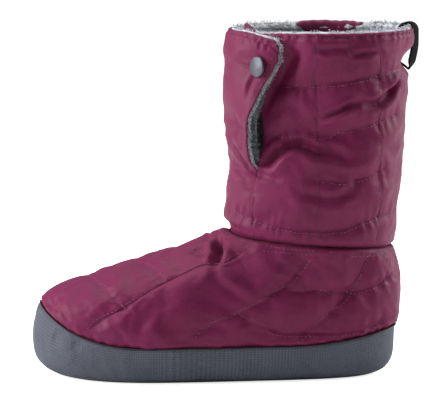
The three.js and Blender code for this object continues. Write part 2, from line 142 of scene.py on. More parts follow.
def ringAt(level):  # a smooth curve through each column of the table
    i = np.clip(np.floor(level).astype(int), 0, len(rings) - 2)
    t = (level - i)[..., None]
    a, b = rings[np.maximum(i - 1, 0)], rings[i]
    c, d = rings[i + 1], rings[np.minimum(i + 2, len(rings) - 1)]
    bend = 2 * a - 5 * b + 4 * c - d + t * (3 * b - a - 3 * c + d)
    return np.moveaxis(b + 0.5 * t * (c - a + t * bend), -1, 0)


def springAt(x):
    share = (x - toeX) / bootie["length"]
    toe = bootie["toeSpring"] * np.maximum(0, (0.23 - share) / 0.23) ** 2
    heel = bootie["heelSpring"] * np.maximum(0, (share - 0.85) / 0.15) ** 2
    return toe + heel


def form(level, angle):  # the plain outer form: level counts the sections, angle is degrees from the front
    level, angle = np.broadcast_arrays(np.asarray(level, float), np.asarray(angle, float))
    ring = ringAt(np.minimum(level, collarLevel))
    frontX, frontZ, backX, backZ, outer, inner, widestX, tip, waist, lift, nose, heel, dip = ring
    c = np.cos(np.radians(angle))
    s = np.sin(np.radians(angle))
    run = np.where(c > 0, widestX - frontX, backX - widestX)
    full = np.where(c > 0, nose, heel)
    x = widestX - np.sign(c) * run * np.abs(c) ** (2 / full)
    share = (x - toeX) / bootie["length"]
    pinch = np.where(s >= 0, 0.07, 0.15) * waist
    narrow = 1 - pinch * np.exp(-(((share - 0.62) / 0.17) ** 2))
    half = np.where(s >= 0, outer, inner) * np.abs(s) ** (2 / full) * narrow
    y = np.where(s >= 0, -half, half) + tip * np.maximum(c, 0) ** 1.6
    along = np.maximum(0, (x - frontX) / (backX - frontX))
    z = mix(frontZ, backZ, along ** dip) + lift * springAt(x)
    z = z + np.maximum(0, level - collarLevel) * levelRise
    return np.stack([x, y, z], -1)


def outward(level, angle):
    level = np.clip(level, 0, collarLevel)
    up = form(np.minimum(level + 0.03, collarLevel), angle) - form(np.maximum(level - 0.03, 0), angle)
    on = form(level, angle + 1.5) - form(level, angle - 1.5)
    across = np.cross(on, up)
    return across / np.linalg.norm(across, axis=-1, keepdims=True)


# The large folds: level, angle, depth, reach in levels, reach in degrees. The solids have most of them
# too, some of them shallower or a little to one side.
largeFolds = [
    (16.5, 180, 0.0105, 0.8, 42),
    (9.2, 33, 0.004, 0.6, 18),
    (9.45, 4, 0.0022, 0.13, 16),
    (9.64, 4, -0.002, 0.24, 26),
    (14.2, 80, 0.0025, 0.35, 30),
    (15.2, 140, 0.003, 0.4, 20),
]


def cloth(level, angle, offset):
    level, angle = np.broadcast_arrays(np.asarray(level, float), np.asarray(angle, float))
    depth = np.zeros(level.shape)
    for at, way, deep, levels, degrees in largeFolds:
        turned = (angle - way + 180) % 360 - 180
        depth = depth + deep * hump((level - at) / levels) * hump(turned / degrees)
    return form(level, angle) + outward(level, angle) * (offset - depth)[..., None]


def levelAtHeight(height, angle):
    height, angle = np.broadcast_arrays(np.asarray(height, float), np.asarray(angle, float))
    low = np.zeros(height.shape)
    high = np.full(height.shape, float(collarLevel))
    for _ in range(26):
        middle = (low + high) / 2
        under = form(middle, angle)[..., 2] < height
        low = np.where(under, middle, low)
        high = np.where(under, high, middle)
    return (low + high) / 2


def randTop(angle):  # the level of the rand's upper edge
    share = (form(np.full(np.shape(angle), 4.0), angle)[..., 0] - toeX) / bootie["length"]
    toe = (bootie["randToe"] - bootie["randSide"]) * np.maximum(0, 1 - share / 0.34) ** 2.6
    heel = (bootie["randHeel"] - bootie["randSide"]) * np.maximum(0, 1 - (1 - share) / 0.3) ** 1.8
    return levelAtHeight(bootie["randSide"] + toe + heel, angle)


# The vent, where the solids have it. The flap's edge slants more than theirs, and its corner is rounder.
vent = {
    "angle": 45,  # degrees from the front, round the outer side
    "bottom": 0.16,
    "opening": 0.0045,  # how far the edges part just above the bottom
    "openingEnds": (0.03, 0.022),  # above the bottom: from here on it closes, over this height
    "lift": 0.003,  # how far the flap stands out
    "flapReach": 0.019,
    "underReach": 0.014,
    "lapFrom": 0.038,  # above the bottom: here the flap starts to lap over
    "lapShort": 0.048,  # the lap grows over the vent's height less this
    "slant": 1.7,  # above 1, the flap's edge runs back late
    "droop": 0.42,  # how far the flap's top corner hangs, in levels
    "rounded": 0.3,  # and how much more at its very corner
    "peek": 0.55,  # how far the corner of the layer below stands up, in levels
    "corner": 0.016,  # how much further forward the layer below runs at its top corner
    "cornerFrom": 0.236,
    "curl": 0.0045,  # how far the flap's free edge turns out, between the snap and the vent's bottom
}
degreesPerMetre = 180 / (math.pi * (bootie["shaftLength"] + bootie["shaftWidth"]) / 4)


def ventAt(height):
    opened = np.maximum(0, height - vent["bottom"])
    rise = bootie["collar"] - vent["bottom"]
    closing, over = vent["openingEnds"]
    parted = vent["opening"] * smooth(opened / 0.014) * (1 - smooth((opened - closing) / over))
    lap = (opened - vent["lapFrom"]) / (rise - vent["lapShort"])
    lapped = smooth(lap)
    slant = np.clip(lap, 0, 1) ** vent["slant"]
    flap = (vent["flapReach"] * slant - parted * 0.4) * degreesPerMetre
    under = (vent["underReach"] * lapped - parted * 0.6) * degreesPerMetre
    tuck = (bootie["wall"] + 3 * bootie["gap"]) * smooth(opened / 0.03)
    lift = vent["lift"] * smooth(opened / 0.024) * (1 - smooth((opened - 0.06) / (rise - 0.06)))
    curl = vent["curl"] * smooth(opened / 0.015) * (1 - smooth((opened - 0.045) / 0.03))
    return lapped, flap, under, tuck, lift, curl


def ventLevel(above):  # the level at a height above the vent's bottom
    return levelAtHeight(np.array([vent["bottom"] + above]), np.array([float(vent["angle"])]))[0]


# around: 0 at the edge of the layer below, 1 at the flap's edge
def shaftPoint(around, level, offset, pastFlap=0.0, pastUnder=0.0):
    height = form(np.minimum(level, collarLevel), np.full(level.shape, float(vent["angle"])))[..., 2]
    lapped, flap, under, tuck, lift, curl = ventAt(height)
    past = smooth((height - vent["bottom"]) / 0.012)
    under = under + vent["corner"] * smooth((height - vent["cornerFrom"]) / 0.026) * degreesPerMetre
    start = vent["angle"] - under - pastUnder * past * degreesPerMetre
    end = vent["angle"] + 360 + flap + pastFlap * past * degreesPerMetre
    angle = mix(start, end, around)
    below = 1 - smooth((angle - start - 30) / 44)
    over = 1 - smooth((end - angle) / 30)
    edge = 1 - smooth((end - angle) / 9)
    corner = 1 - smooth((end - angle) / 36)
    peek = 1 - smooth((angle - start) / 22)
    rounded = vent["rounded"] * (1 - smooth((end - angle) / 7)) ** 2
    at = level - (vent["droop"] * corner + rounded) * lapped + vent["peek"] * peek * lapped
    return cloth(at, angle, offset - tuck * below + lift * over + curl * edge)


# Meshes

def deselect():
    if bpy.context.object and bpy.context.object.mode != "OBJECT":
        bpy.ops.object.mode_set(mode="OBJECT")
    bpy.ops.object.select_all(action="DESELECT")


def newSheet(name, around, up):  # a grid, to be taken round a form: its own place gives u and v, 0 to 1
    deselect()
    bpy.ops.mesh.primitive_grid_add(x_subdivisions=around, y_subdivisions=up, size=1, calc_uvs=True)
    sheet = bpy.context.object
    sheet.name = name
    sheet.data.name = name
    uv = points(sheet)[:, :2] + 0.5
    return sheet, uv[:, 0], uv[:, 1]


def points(obj, what="co"):
    flat = np.empty(len(obj.data.vertices) * 3)
    obj.data.vertices.foreach_get(what, flat)
    return flat.reshape(-1, 3)


def place(obj, where):
    obj.data.vertices.foreach_set("co", np.ascontiguousarray(where).ravel())
    obj.data.update()


def choose(obj):
    deselect()
    bpy.context.view_layer.objects.active = obj
    obj.select_set(True)


def editAll(obj, work):  # an operator on the whole mesh, in edit mode
    choose(obj)
    bpy.ops.object.mode_set(mode="EDIT")
    bpy.ops.mesh.select_all(action="SELECT")
    work()
    bpy.ops.object.mode_set(mode="OBJECT")


def closeSeam(obj):
    editAll(obj, lambda: bpy.ops.mesh.remove_doubles(threshold=0.00001))


def recalculate(obj):
    editAll(obj, lambda: bpy.ops.mesh.normals_make_consistent(inside=False))


def thicken(obj, thickness):  # inwards
    choose(obj)
    wall = obj.modifiers.new("wall", "SOLIDIFY")
    wall.thickness = thickness
    wall.offset = -1
    wall.use_rim = True
    wall.use_even_offset = False
    bpy.ops.object.modifier_apply(modifier=wall.name)


def finishPiece(obj, material, nodes=()):
    obj.data.materials.clear()
    obj.data.materials.append(material)
    choose(obj)
    bpy.ops.object.shade_smooth()
    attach(obj, "root")
    if nodes:
        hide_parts(*nodes)


def meshPiece(name, vertices, faces):
    mesh = bpy.data.meshes.new(name)
    mesh.from_pydata(vertices, [], faces)
    mesh.update()
    obj = bpy.data.objects.new(name, mesh)
    bpy.context.collection.objects.link(obj)
    return obj


# Quilting, seams and creases. A path's points are (x, z) in millimetres in the side view, on the side
# that is named: outer is -Y and inner is +Y.

def curveThrough(path, step):
    p = np.array(path, float)
    p = np.vstack([2 * p[0] - p[1], p, 2 * p[-1] - p[-2]])
    out = []
    for a, b, c, d in zip(p[:-3], p[1:-2], p[2:-1], p[3:]):
        count = max(2, int(np.linalg.norm(c - b) / step))
        t = np.linspace(0, 1, count, endpoint=False)[:, None]
        out.append(b + 0.5 * t * (c - a + t * (2 * a - 5 * b + 4 * c - d + t * (3 * b - a - 3 * c + d))))
    out.append(p[-2][None])
    return np.vstack(out)


def lengthsAlong(path):
    return np.concatenate([[0], np.cumsum(np.linalg.norm(np.diff(path, axis=0), axis=1))])


def anchor(where, path, side):  # the path's points on the surface, outermost at each place
    dense = curveThrough(path, 2.5) * 0.001
    facing = where[where[:, 1] * side > 0.001]
    found = []
    for x, z in dense:
        away = np.hypot(facing[:, 0] - x, facing[:, 2] - z)
        near = away < max(0.0022, away.min() + 0.0005)
        found.append(facing[near][np.argmax(facing[near][:, 1] * side)])
    line = np.array(found)
    line[1:-1] = (line[:-2] + line[2:] + 2 * line[1:-1]) / 4
    return line


def distanceTo(where, line):  # to a polyline: how far, and how far along it
    away = np.full(len(where), 1.0)
    along = np.zeros(len(where))
    done = 0.0
    for a, b in zip(line[:-1], line[1:]):
        ab = b - a
        length = np.linalg.norm(ab)
        if length < 1e-6:
            continue
        t = np.clip(((where - a) @ ab) / length**2, 0, 1)
        d = np.linalg.norm(where - a - t[:, None] * ab, axis=1)
        closer = d < away
        away[closer] = d[closer]
        along[closer] = done + t[closer] * length
        done += length
    return away, along, done


def wobble(values, scale, seed):
    return np.array([noise.noise(Vector((v * scale, seed, 0.5))) for v in values])


# depth and width are those of the dip along a line, bite and biteWidth those of the narrow one at its
# thread, and pucker, pitch and reach those of the ripples beside it
stitched = {
    "depth": 0.0018, "width": 0.0065, "bite": 0.0007, "biteWidth": 0.0014,
    "pucker": 0.0005, "pitch": 0.0085, "reach": 0.009,
}
seamed = {
    "depth": 0.0002, "width": 0.003, "bite": 0.0004, "biteWidth": 0.0009,
    "pucker": 0.0003, "pitch": 0.007, "reach": 0.007,
}
sewnReach = 0.028  # how far from a sewn line the cloth feels it
sewnFade = 0.01  # over how much of its length a sewn line fades in and out
sewnAtEnds = 0.25  # what is left of it at its ends


def sewn(where, line, kind, seed):  # how far a sewn line pulls the cloth in, with the puckers beside it
    inBox = (where > line.min(0) - sewnReach) & (where < line.max(0) + sewnReach)
    close = np.where(np.all(inBox, axis=1))[0]
    pulled = np.zeros(len(where))
    if len(close) == 0:
        return pulled
    away, along, length = distanceTo(where[close], line)
    near = away < sewnReach
    close, away, along = close[near], away[near], along[near]
    fade = smooth(along / sewnFade) * smooth((length - along) / sewnFade)
    dip = kind["depth"] * np.exp(-((away / kind["width"]) ** 2))
    dip += kind["bite"] * np.exp(-((away / kind["biteWidth"]) ** 2))
    warp = wobble(along, 60, seed) * 2.2
    swell = 0.6 + 0.8 * wobble(along, 45, seed + 7)
    ripple = kind["pucker"] * np.sin(2 * np.pi * along / kind["pitch"] + warp * 2.2) * swell
    ripple *= np.exp(-((away / kind["reach"]) ** 2)) * (0.25 + 0.75 * smooth(away / 0.003))
    pulled[close] = (dip + ripple) * mix(sewnAtEnds, 1, fade)
    return pulled


def creased(where, line, depth, width, lip=0.0):  # a soft trough, or a ridge where depth is negative
    inBox = (where > line.min(0) - 4 * width) & (where < line.max(0) + 4 * width)
    close = np.where(np.all(inBox, axis=1))[0]
    pulled = np.zeros(len(where))
    if len(close) == 0:
        return pulled
    away, along, length = distanceTo(where[close], line)
    ends = smooth(along / (0.3 * length)) * smooth((length - along) / (0.3 * length))
    trough = np.exp(-((away / width) ** 2))
    bank = np.exp(-(((away - 1.7 * width) / (0.9 * width)) ** 2))
    pulled[close] = depth * (trough - lip * bank) * (0.15 + 0.85 * ends)
    return pulled


def addCreases(pulled, where, creases, innerShare):  # on both sides, weaker on the inner one
    for side, share in ((-1, 1), (1, innerShare)):
        for path, depth, width, lip in creases:
            pulled += creased(where, anchor(where, path, side), depth * share, width, lip)


def wrinkles(where, scale, stretch, seed):  # small irregular folds, up to about 1
    q = where * np.array(stretch) / scale
    out = np.empty(len(where))
    for i, (x, y, z) in enumerate(q):
        bend = noise.noise(Vector((x * 0.5 + seed, y * 0.5, z * 0.5))) * 0.8
        value = noise.noise(Vector((x + bend + seed, y + bend, z + bend)))
        out[i] = 1 - abs(value) * 2
    return out


# Down under the cloth: a coarser sheet of the same form is blown up from inside, held at its edges and
# along the quilting, and cut a little too large, so that it buckles beside the lines as the real one does.
down = {
    "pressure": 2.5,
    "slack": 0.02,  # how much too large the sheet is cut
    "most": 0.003,  # how far it may move
    "steps": 20,
    "hold": 0.0019,  # how near a quilting line it is held
    "mass": 0.12,
    "stretch": 12,  # stiffness, also when pressed together
    "shear": 5,
    "bending": 0.3,
}


def blownUp(name, around, up, shape, lines):
    sheet, u, v = newSheet(name, around, up)
    place(sheet, shape(u, v))
    closeSeam(sheet)
    rest = points(sheet)
    mesh = bmesh.new()
    mesh.from_mesh(sheet.data)
    held = np.array([vertex.is_boundary for vertex in mesh.verts])
    mesh.free()
    for line in lines:
        held |= distanceTo(rest, line)[0] < down["hold"]
    group = sheet.vertex_groups.new(name="held")
    group.add([int(i) for i in np.where(held)[0]], 1.0, "REPLACE")
    step = sheet.modifiers.new("cloth", "CLOTH")
    settings = step.settings
    settings.quality = 6
    settings.mass = down["mass"]
    settings.tension_stiffness = down["stretch"]
    settings.compression_stiffness = down["stretch"]
    settings.shear_stiffness = down["shear"]
    settings.bending_stiffness = down["bending"]
    settings.air_damping = 2
    settings.use_pressure = True
    settings.uniform_pressure_force = down["pressure"]
    settings.shrink_min = -down["slack"]
    settings.vertex_group_mass = "held"
    settings.effector_weights.gravity = 0
    step.collision_settings.use_collision = False
    step.collision_settings.use_self_collision = False
    scene = bpy.context.scene
    for frameNumber in range(1, down["steps"] + 1):
        scene.frame_set(frameNumber)
    choose(sheet)
    bpy.ops.object.modifier_apply(modifier=step.name)
    moved = points(sheet) - rest
    scene.frame_set(1)
    bpy.data.objects.remove(sheet)
    far = np.linalg.norm(moved, axis=1)
    moved *= (down["most"] * np.tanh(far / down["most"]) / np.maximum(far, 1e-9))[:, None]
    mean, largest = [round(float(x) * 1000, 2) for x in (far.mean(), far.max())]
    print(name, "blown up, mean and largest move in mm", mean, largest)
    tree = KDTree(len(rest))
    for i, spotAt in enumerate(rest):
        tree.insert(spotAt, i)
    tree.balance()

    def moveOf(where):
        out = np.empty_like(where)
        for i, spotAt in enumerate(where):
            near = tree.find_n(spotAt, 4)
            weights = np.array([1 / (n[2] + 0.0002) ** 2 for n in near])
            out[i] = weights @ moved[[n[1] for n in near]] / weights.sum()
        return out

    return moveOf


def asTable(moves, u, v, around, up):  # a sheet's moves as a grid, to be read between its points
    table = np.zeros((up + 1, around + 1, 3))
    table[np.rint(v * up).astype(int), np.rint(u * around).astype(int)] = moves
    return table


def fromTable(table, u, v):
    up, around = table.shape[0] - 1, table.shape[1] - 1
    row, column = np.clip(v, 0, 1) * up, np.clip(u, 0, 1) * around
    i, j = np.minimum(row.astype(int), up - 1), np.minimum(column.astype(int), around - 1)
    s, t = (row - i)[:, None], (column - j)[:, None]
    low = mix(table[i, j], table[i, j + 1], t)
    high = mix(table[i + 1, j], table[i + 1, j + 1], t)
    return mix(low, high, s)


def calmed(moves, u, v, around, up, times):  # the same moves without their sharpest folds
    table = asTable(moves, u, v, around, up)
    for _ in range(times):
        table[:, 1:-1] = (table[:, :-2] + 2 * table[:, 1:-1] + table[:, 2:]) / 4
        table[1:-1] = (table[:-2] + 2 * table[1:-1] + table[2:]) / 4
    return fromTable(table, u, v)


# Materials

def nodeMaterial(name, plain):  # plain: what stays the same all over, such as its roughness
    material = bpy.data.materials.new(name)
    material.use_nodes = True
    tree = material.node_tree
    shader = tree.nodes["Principled BSDF"]
    for socket, value in plain.items():
        shader.inputs[socket].default_value = value
    return material, tree, shader


def addNode(tree, kind, **settings):
    node = tree.nodes.new(kind)
    for key, value in settings.items():
        if key.startswith("in_"):
            node.inputs[int(key[3:])].default_value = value
        else:
            setattr(node, key, value)
    return node


def weaveGroup():  # plain weave: threads over and under, from a vector counted in threads
    group = bpy.data.node_groups.new("plainWeave", "ShaderNodeTree")
    group.interface.new_socket("Threads", in_out="INPUT", socket_type="NodeSocketVector")
    group.interface.new_socket("Height", in_out="OUTPUT", socket_type="NodeSocketFloat")
    start = group.nodes.new("NodeGroupInput")
    end = group.nodes.new("NodeGroupOutput")
    split = group.nodes.new("ShaderNodeSeparateXYZ")
    group.links.new(start.outputs["Threads"], split.inputs[0])
    rounds = []
    for axis in (0, 1):
        turn = addNode(group, "ShaderNodeMath", operation="MULTIPLY", in_1=math.pi)
        wave = addNode(group, "ShaderNodeMath", operation="SINE")
        group.links.new(split.outputs[axis], turn.inputs[0])
        group.links.new(turn.outputs[0], wave.inputs[0])
        rounds.append(wave)
    crossing = addNode(group, "ShaderNodeMath", operation="MULTIPLY")
    group.links.new(rounds[0].outputs[0], crossing.inputs[0])
    group.links.new(rounds[1].outputs[0], crossing.inputs[1])
    swap = addNode(group, "ShaderNodeMath", operation="MULTIPLY_ADD", in_1=0.5, in_2=0.5)
    group.links.new(crossing.outputs[0], swap.inputs[0])
    lumps = []
    for wave in rounds:
        lump = addNode(group, "ShaderNodeMath", operation="ABSOLUTE")
        group.links.new(wave.outputs[0], lump.inputs[0])
        lumps.append(lump)
    blend = addNode(group, "ShaderNodeMix", data_type="FLOAT")
    group.links.new(swap.outputs[0], blend.inputs["Factor"])
    group.links.new(lumps[0].outputs[0], blend.inputs["A"])
    group.links.new(lumps[1].outputs[0], blend.inputs["B"])
    group.links.new(blend.outputs["Result"], end.inputs["Height"])
    return group


def patchyGroup():  # a colour that drifts between two, in soft patches and in fine specks
    group = bpy.data.node_groups.new("patchyColour", "ShaderNodeTree")
    sockets = {"Vector": "Vector", "Dark": "Color", "Light": "Color", "Patches": "Float", "Specks": "Float"}
    for name, kind in sockets.items():
        group.interface.new_socket(name, in_out="INPUT", socket_type="NodeSocket" + kind)
    group.interface.new_socket("Color", in_out="OUTPUT", socket_type="NodeSocketColor")
    start = group.nodes.new("NodeGroupInput")
    end = group.nodes.new("NodeGroupOutput")
    shares = []
    for name, detail in (("Patches", 3), ("Specks", 1)):
        lumps = addNode(group, "ShaderNodeTexNoise")
        lumps.inputs["Detail"].default_value = detail
        group.links.new(start.outputs["Vector"], lumps.inputs["Vector"])
        group.links.new(start.outputs[name], lumps.inputs["Scale"])
        shares.append(lumps)
    both = addNode(group, "ShaderNodeMath", operation="ADD")
    group.links.new(shares[0].outputs["Fac"], both.inputs[0])
    group.links.new(shares[1].outputs["Fac"], both.inputs[1])
    spread = addNode(group, "ShaderNodeMapRange")
    spread.inputs["From Min"].default_value = 0.7
    spread.inputs["From Max"].default_value = 1.3
    group.links.new(both.outputs[0], spread.inputs["Value"])
    blend = addNode(group, "ShaderNodeMix", data_type="RGBA")
    group.links.new(spread.outputs["Result"], blend.inputs["Factor"])
    group.links.new(start.outputs["Dark"], blend.inputs["A"])
    group.links.new(start.outputs["Light"], blend.inputs["B"])
    group.links.new(blend.outputs["Result"], end.inputs["Color"])
    return group


def noiseGroup():  # soft noise on a vector that may be stretched first
    group = bpy.data.node_groups.new("softNoise", "ShaderNodeTree")
    sockets = {"Vector": "Vector", "Stretch": "Vector", "Scale": "Float", "Detail": "Float"}
    for name, kind in sockets.items():
        group.interface.new_socket(name, in_out="INPUT", socket_type="NodeSocket" + kind)
    group.interface.new_socket("Height", in_out="OUTPUT", socket_type="NodeSocketFloat")
    start = group.nodes.new("NodeGroupInput")
    end = group.nodes.new("NodeGroupOutput")
    spread = addNode(group, "ShaderNodeMapping")
    group.links.new(start.outputs["Vector"], spread.inputs["Vector"])
    group.links.new(start.outputs["Stretch"], spread.inputs["Scale"])
    lumps = addNode(group, "ShaderNodeTexNoise")
    group.links.new(spread.outputs["Vector"], lumps.inputs["Vector"])
    group.links.new(start.outputs["Scale"], lumps.inputs["Scale"])
    group.links.new(start.outputs["Detail"], lumps.inputs["Detail"])
    group.links.new(lumps.outputs["Fac"], end.inputs["Height"])
    return group


plainWeave = weaveGroup()
softNoise = noiseGroup()
patchyColour = patchyGroup()


def patchy(tree, vector, dark, light, patches, specks):
    node = addNode(tree, "ShaderNodeGroup", node_tree=patchyColour)
    tree.links.new(vector, node.inputs["Vector"])
    node.inputs["Dark"].default_value = (*dark, 1)
    node.inputs["Light"].default_value = (*light, 1)
    node.inputs["Patches"].default_value = patches
    node.inputs["Specks"].default_value = specks
    return node.outputs["Color"]


def weave(tree, threads):  # threads: how many across the UV's 0 to 1, each way
    uv = addNode(tree, "ShaderNodeUVMap")
    count = addNode(tree, "ShaderNodeMapping")
    count.inputs["Scale"].default_value = (*threads, 1)
    tree.links.new(uv.outputs["UV"], count.inputs["Vector"])
    node = addNode(tree, "ShaderNodeGroup", node_tree=plainWeave)
    tree.links.new(count.outputs["Vector"], node.inputs["Threads"])
    return node.outputs["Height"]


def bump(tree, height, distance, strength, under=None):
    node = addNode(tree, "ShaderNodeBump")
    node.inputs["Distance"].default_value = distance
    node.inputs["Strength"].default_value = strength
    tree.links.new(height, node.inputs["Height"])
    if under is not None:
        tree.links.new(under, node.inputs["Normal"])
    return node.outputs["Normal"]


def cloud(tree, vector, scale, detail=2.0, stretch=(1, 1, 1)):
    node = addNode(tree, "ShaderNodeGroup", node_tree=softNoise)
    tree.links.new(vector, node.inputs["Vector"])
    node.inputs["Stretch"].default_value = stretch
    node.inputs["Scale"].default_value = scale
    node.inputs["Detail"].default_value = detail
    return node.outputs["Height"]


def relief(tree, vector, lumps, under=None, stretch=(1, 1, 1)):  # lumps: scale, detail, distance, strength
    scale, detail, distance, strength = lumps
    return bump(tree, cloud(tree, vector, scale, detail, stretch), distance, strength, under)


def objectPlace(tree):
    return addNode(tree, "ShaderNodeTexCoord").outputs["Object"]


def roughBetween(tree, shader, least, most, where):
    rough = addNode(tree, "ShaderNodeMapRange")
    rough.inputs["To Min"].default_value = least
    rough.inputs["To Max"].default_value = most
    tree.links.new(where, rough.inputs["Value"])
    tree.links.new(rough.outputs["Result"], shader.inputs["Roughness"])


# In each look, colours are from dark to light, then the scale of the patches and of the specks. A relief is
# a noise's scale and detail, then the bump's distance and strength.
nylonLook = {
    "colours": ((0.112, 0.008, 0.041), (0.15, 0.0122, 0.055), 22, 900),
    "rough": (0.45, 0.59),
    "crumple": (130, 4, 0.0009, 0.42),
    "threads": (0.00012, 0.35),
    "grain": (1300, 1, 0.00018, 0.4),
    "plain": {
        "Sheen Weight": 0.04, "Sheen Tint": (0.95, 0.72, 0.86, 1), "Sheen Roughness": 0.4,
        "Specular IOR Level": 0.16,
    },
}


def nylonMaterial(name, threads):
    material, tree, shader = nodeMaterial(name, nylonLook["plain"])
    spotAt = objectPlace(tree)
    tree.links.new(patchy(tree, spotAt, *nylonLook["colours"]), shader.inputs["Base Color"])
    roughBetween(tree, shader, *nylonLook["rough"], cloud(tree, spotAt, 35))
    crumple = relief(tree, spotAt, nylonLook["crumple"], stretch=(1, 1, 1.6))
    threadsUp = bump(tree, weave(tree, threads), *nylonLook["threads"], crumple)
    tree.links.new(relief(tree, spotAt, nylonLook["grain"], threadsUp), shader.inputs["Normal"])
    return material


canvasLook = {
    "colours": ((0.045, 0.05, 0.071), (0.074, 0.081, 0.11), 30, 700),
    "dots": (0.48, 1.2),  # the colour's share between the threads and on them
    "dents": (90, 3, 0.0008, 0.35),
    "threads": (0.0004, 0.6),
    "plain": {"Roughness": 0.62, "Specular IOR Level": 0.4},
}


def canvasMaterial(threads):
    material, tree, shader = nodeMaterial("coatedCanvas", canvasLook["plain"])
    spotAt = objectPlace(tree)
    threadsUp = weave(tree, threads)
    shade = addNode(tree, "ShaderNodeMix", data_type="RGBA", blend_type="MULTIPLY")
    shade.inputs["Factor"].default_value = 1
    dots = addNode(tree, "ShaderNodeMapRange")
    dots.inputs["To Min"].default_value, dots.inputs["To Max"].default_value = canvasLook["dots"]
    tree.links.new(threadsUp, dots.inputs["Value"])
    tree.links.new(patchy(tree, spotAt, *canvasLook["colours"]), shade.inputs["A"])
    tree.links.new(dots.outputs["Result"], shade.inputs["B"])
    tree.links.new(shade.outputs["Result"], shader.inputs["Base Color"])
    dents = relief(tree, spotAt, canvasLook["dents"])
    tree.links.new(bump(tree, threadsUp, *canvasLook["threads"], dents), shader.inputs["Normal"])
    return material


fleeceLook = {
    "scales": (160, 900),
    "paintedShadeScales": (380, 1100),
    "fade": (0.006, 0.0125),  # below the collar, where its deep colours, painted shade for the dark inside, begin and where they are full
    "tufts": (420, 3, 0.0016, 0.9),
    "hairs": (1500, 2, 0.0006, 0.8),
    "plain": {"Roughness": 0.95, "Sheen Weight": 0.45, "Sheen Roughness": 0.6, "Specular IOR Level": 0.15},
}


def fleeceMaterial(name, dark, light, deep=None):  # deep: its two colours well below the rim, painted shade for the dark inside of the boot
    material, tree, shader = nodeMaterial(name, fleeceLook["plain"])
    spotAt = objectPlace(tree)
    colour = patchy(tree, spotAt, dark, light, *fleeceLook["scales"])
    # painted shade: the colour darkens from the collar downwards, as the inside of the boot is in shade
    if deep:
        split = addNode(tree, "ShaderNodeSeparateXYZ")
        tree.links.new(spotAt, split.inputs[0])
        below = addNode(tree, "ShaderNodeMapRange")
        below.inputs["From Min"].default_value = bootie["collar"] - fleeceLook["fade"][0]
        below.inputs["From Max"].default_value = bootie["collar"] - fleeceLook["fade"][1]
        tree.links.new(split.outputs["Z"], below.inputs["Value"])
        blend = addNode(tree, "ShaderNodeMix", data_type="RGBA")
        tree.links.new(below.outputs["Result"], blend.inputs["Factor"])
        tree.links.new(colour, blend.inputs["A"])
        tree.links.new(patchy(tree, spotAt, *deep, *fleeceLook["paintedShadeScales"]), blend.inputs["B"])
        colour = blend.outputs["Result"]
    tree.links.new(colour, shader.inputs["Base Color"])
    tufts = relief(tree, spotAt, fleeceLook["tufts"])
    tree.links.new(relief(tree, spotAt, fleeceLook["hairs"], tufts), shader.inputs["Normal"])
    return material


def plainMaterial(name, colours, grain, plain):  # one colour pair and one relief, as rubber or thread has
    material, tree, shader = nodeMaterial(name, plain)
    spotAt = objectPlace(tree)
    tree.links.new(patchy(tree, spotAt, *colours), shader.inputs["Base Color"])
    tree.links.new(relief(tree, spotAt, grain), shader.inputs["Normal"])
    return material, tree, shader


def rubberMaterial():
    colours = ((0.028, 0.03, 0.036), (0.045, 0.047, 0.055), 40, 500)
    plain = {"Roughness": 0.75, "Specular IOR Level": 0.35}
    return plainMaterial("treadRubber", colours, (900, 3, 0.0003, 0.5), plain)[0]


def threadMaterial(name, dark, light):
    return plainMaterial(name, (dark, light, 80, 1500), (2500, 1, 0.0002, 0.5), {"Roughness": 0.5})[0]


def snapMaterial():
    colours = ((0.045, 0.047, 0.06), (0.085, 0.088, 0.104), 220, 1200)
    material, tree, shader = plainMaterial("snapMetal", colours, (1400, 2, 0.00008, 0.35), {"Metallic": 0.6})
    brushed = cloud(tree, objectPlace(tree), 700, 4, (1, 1, 0.2))
    roughBetween(tree, shader, 0.36, 0.56, brushed)
    return material


def webbingMaterial(threads):
    material, tree, shader = nodeMaterial("blackWebbing", {"Roughness": 0.8, "Specular IOR Level": 0.07})
    colours = ((0.0015, 0.0015, 0.002), (0.004, 0.004, 0.0048), 90, 900)
    tree.links.new(patchy(tree, objectPlace(tree), *colours), shader.inputs["Base Color"])
    tree.links.new(bump(tree, weave(tree, threads), 0.0004, 0.7), shader.inputs["Normal"])
    return material


# How many threads a woven material has across and along its sheet
footNylon = nylonMaterial("footNylon", (900, 180))
shaftNylon = nylonMaterial("shaftNylon", (560, 220))
canvas = canvasMaterial((396, 24))
# the lining's deep colours are painted shade inside the boot; the pile at the rim and in the vent uses this
# material too
lining = fleeceMaterial("fleeceLiningPaintedShade", (0.2, 0.21, 0.235), (0.6, 0.62, 0.67),
                        ((0.013, 0.016, 0.023), (0.13, 0.148, 0.175)))
# the flap's fleece edge: the fleece's own colours without the painted shade below the rim, its dark colour
# raised as a painted highlight
highlitEdgeFleece = fleeceMaterial("fleeceEdgePaintedHighlight", (0.24, 0.25, 0.28), (0.6, 0.62, 0.67))
footbedFleece = fleeceMaterial("footbedFleece", (0.05, 0.056, 0.068), (0.17, 0.185, 0.21))
rubber = rubberMaterial()
webbing = webbingMaterial((14, 90))
snapMetal = snapMaterial()
thread = threadMaterial("maroonThread", (0.115, 0.019, 0.056), (0.27, 0.072, 0.152))
seamThread = threadMaterial("seamThread", (0.04, 0.0045, 0.017), (0.07, 0.009, 0.03))
edging = threadMaterial("darkEdging", (0.008, 0.004, 0.007), (0.02, 0.008, 0.014))
print("materials made")

# The quilted foot

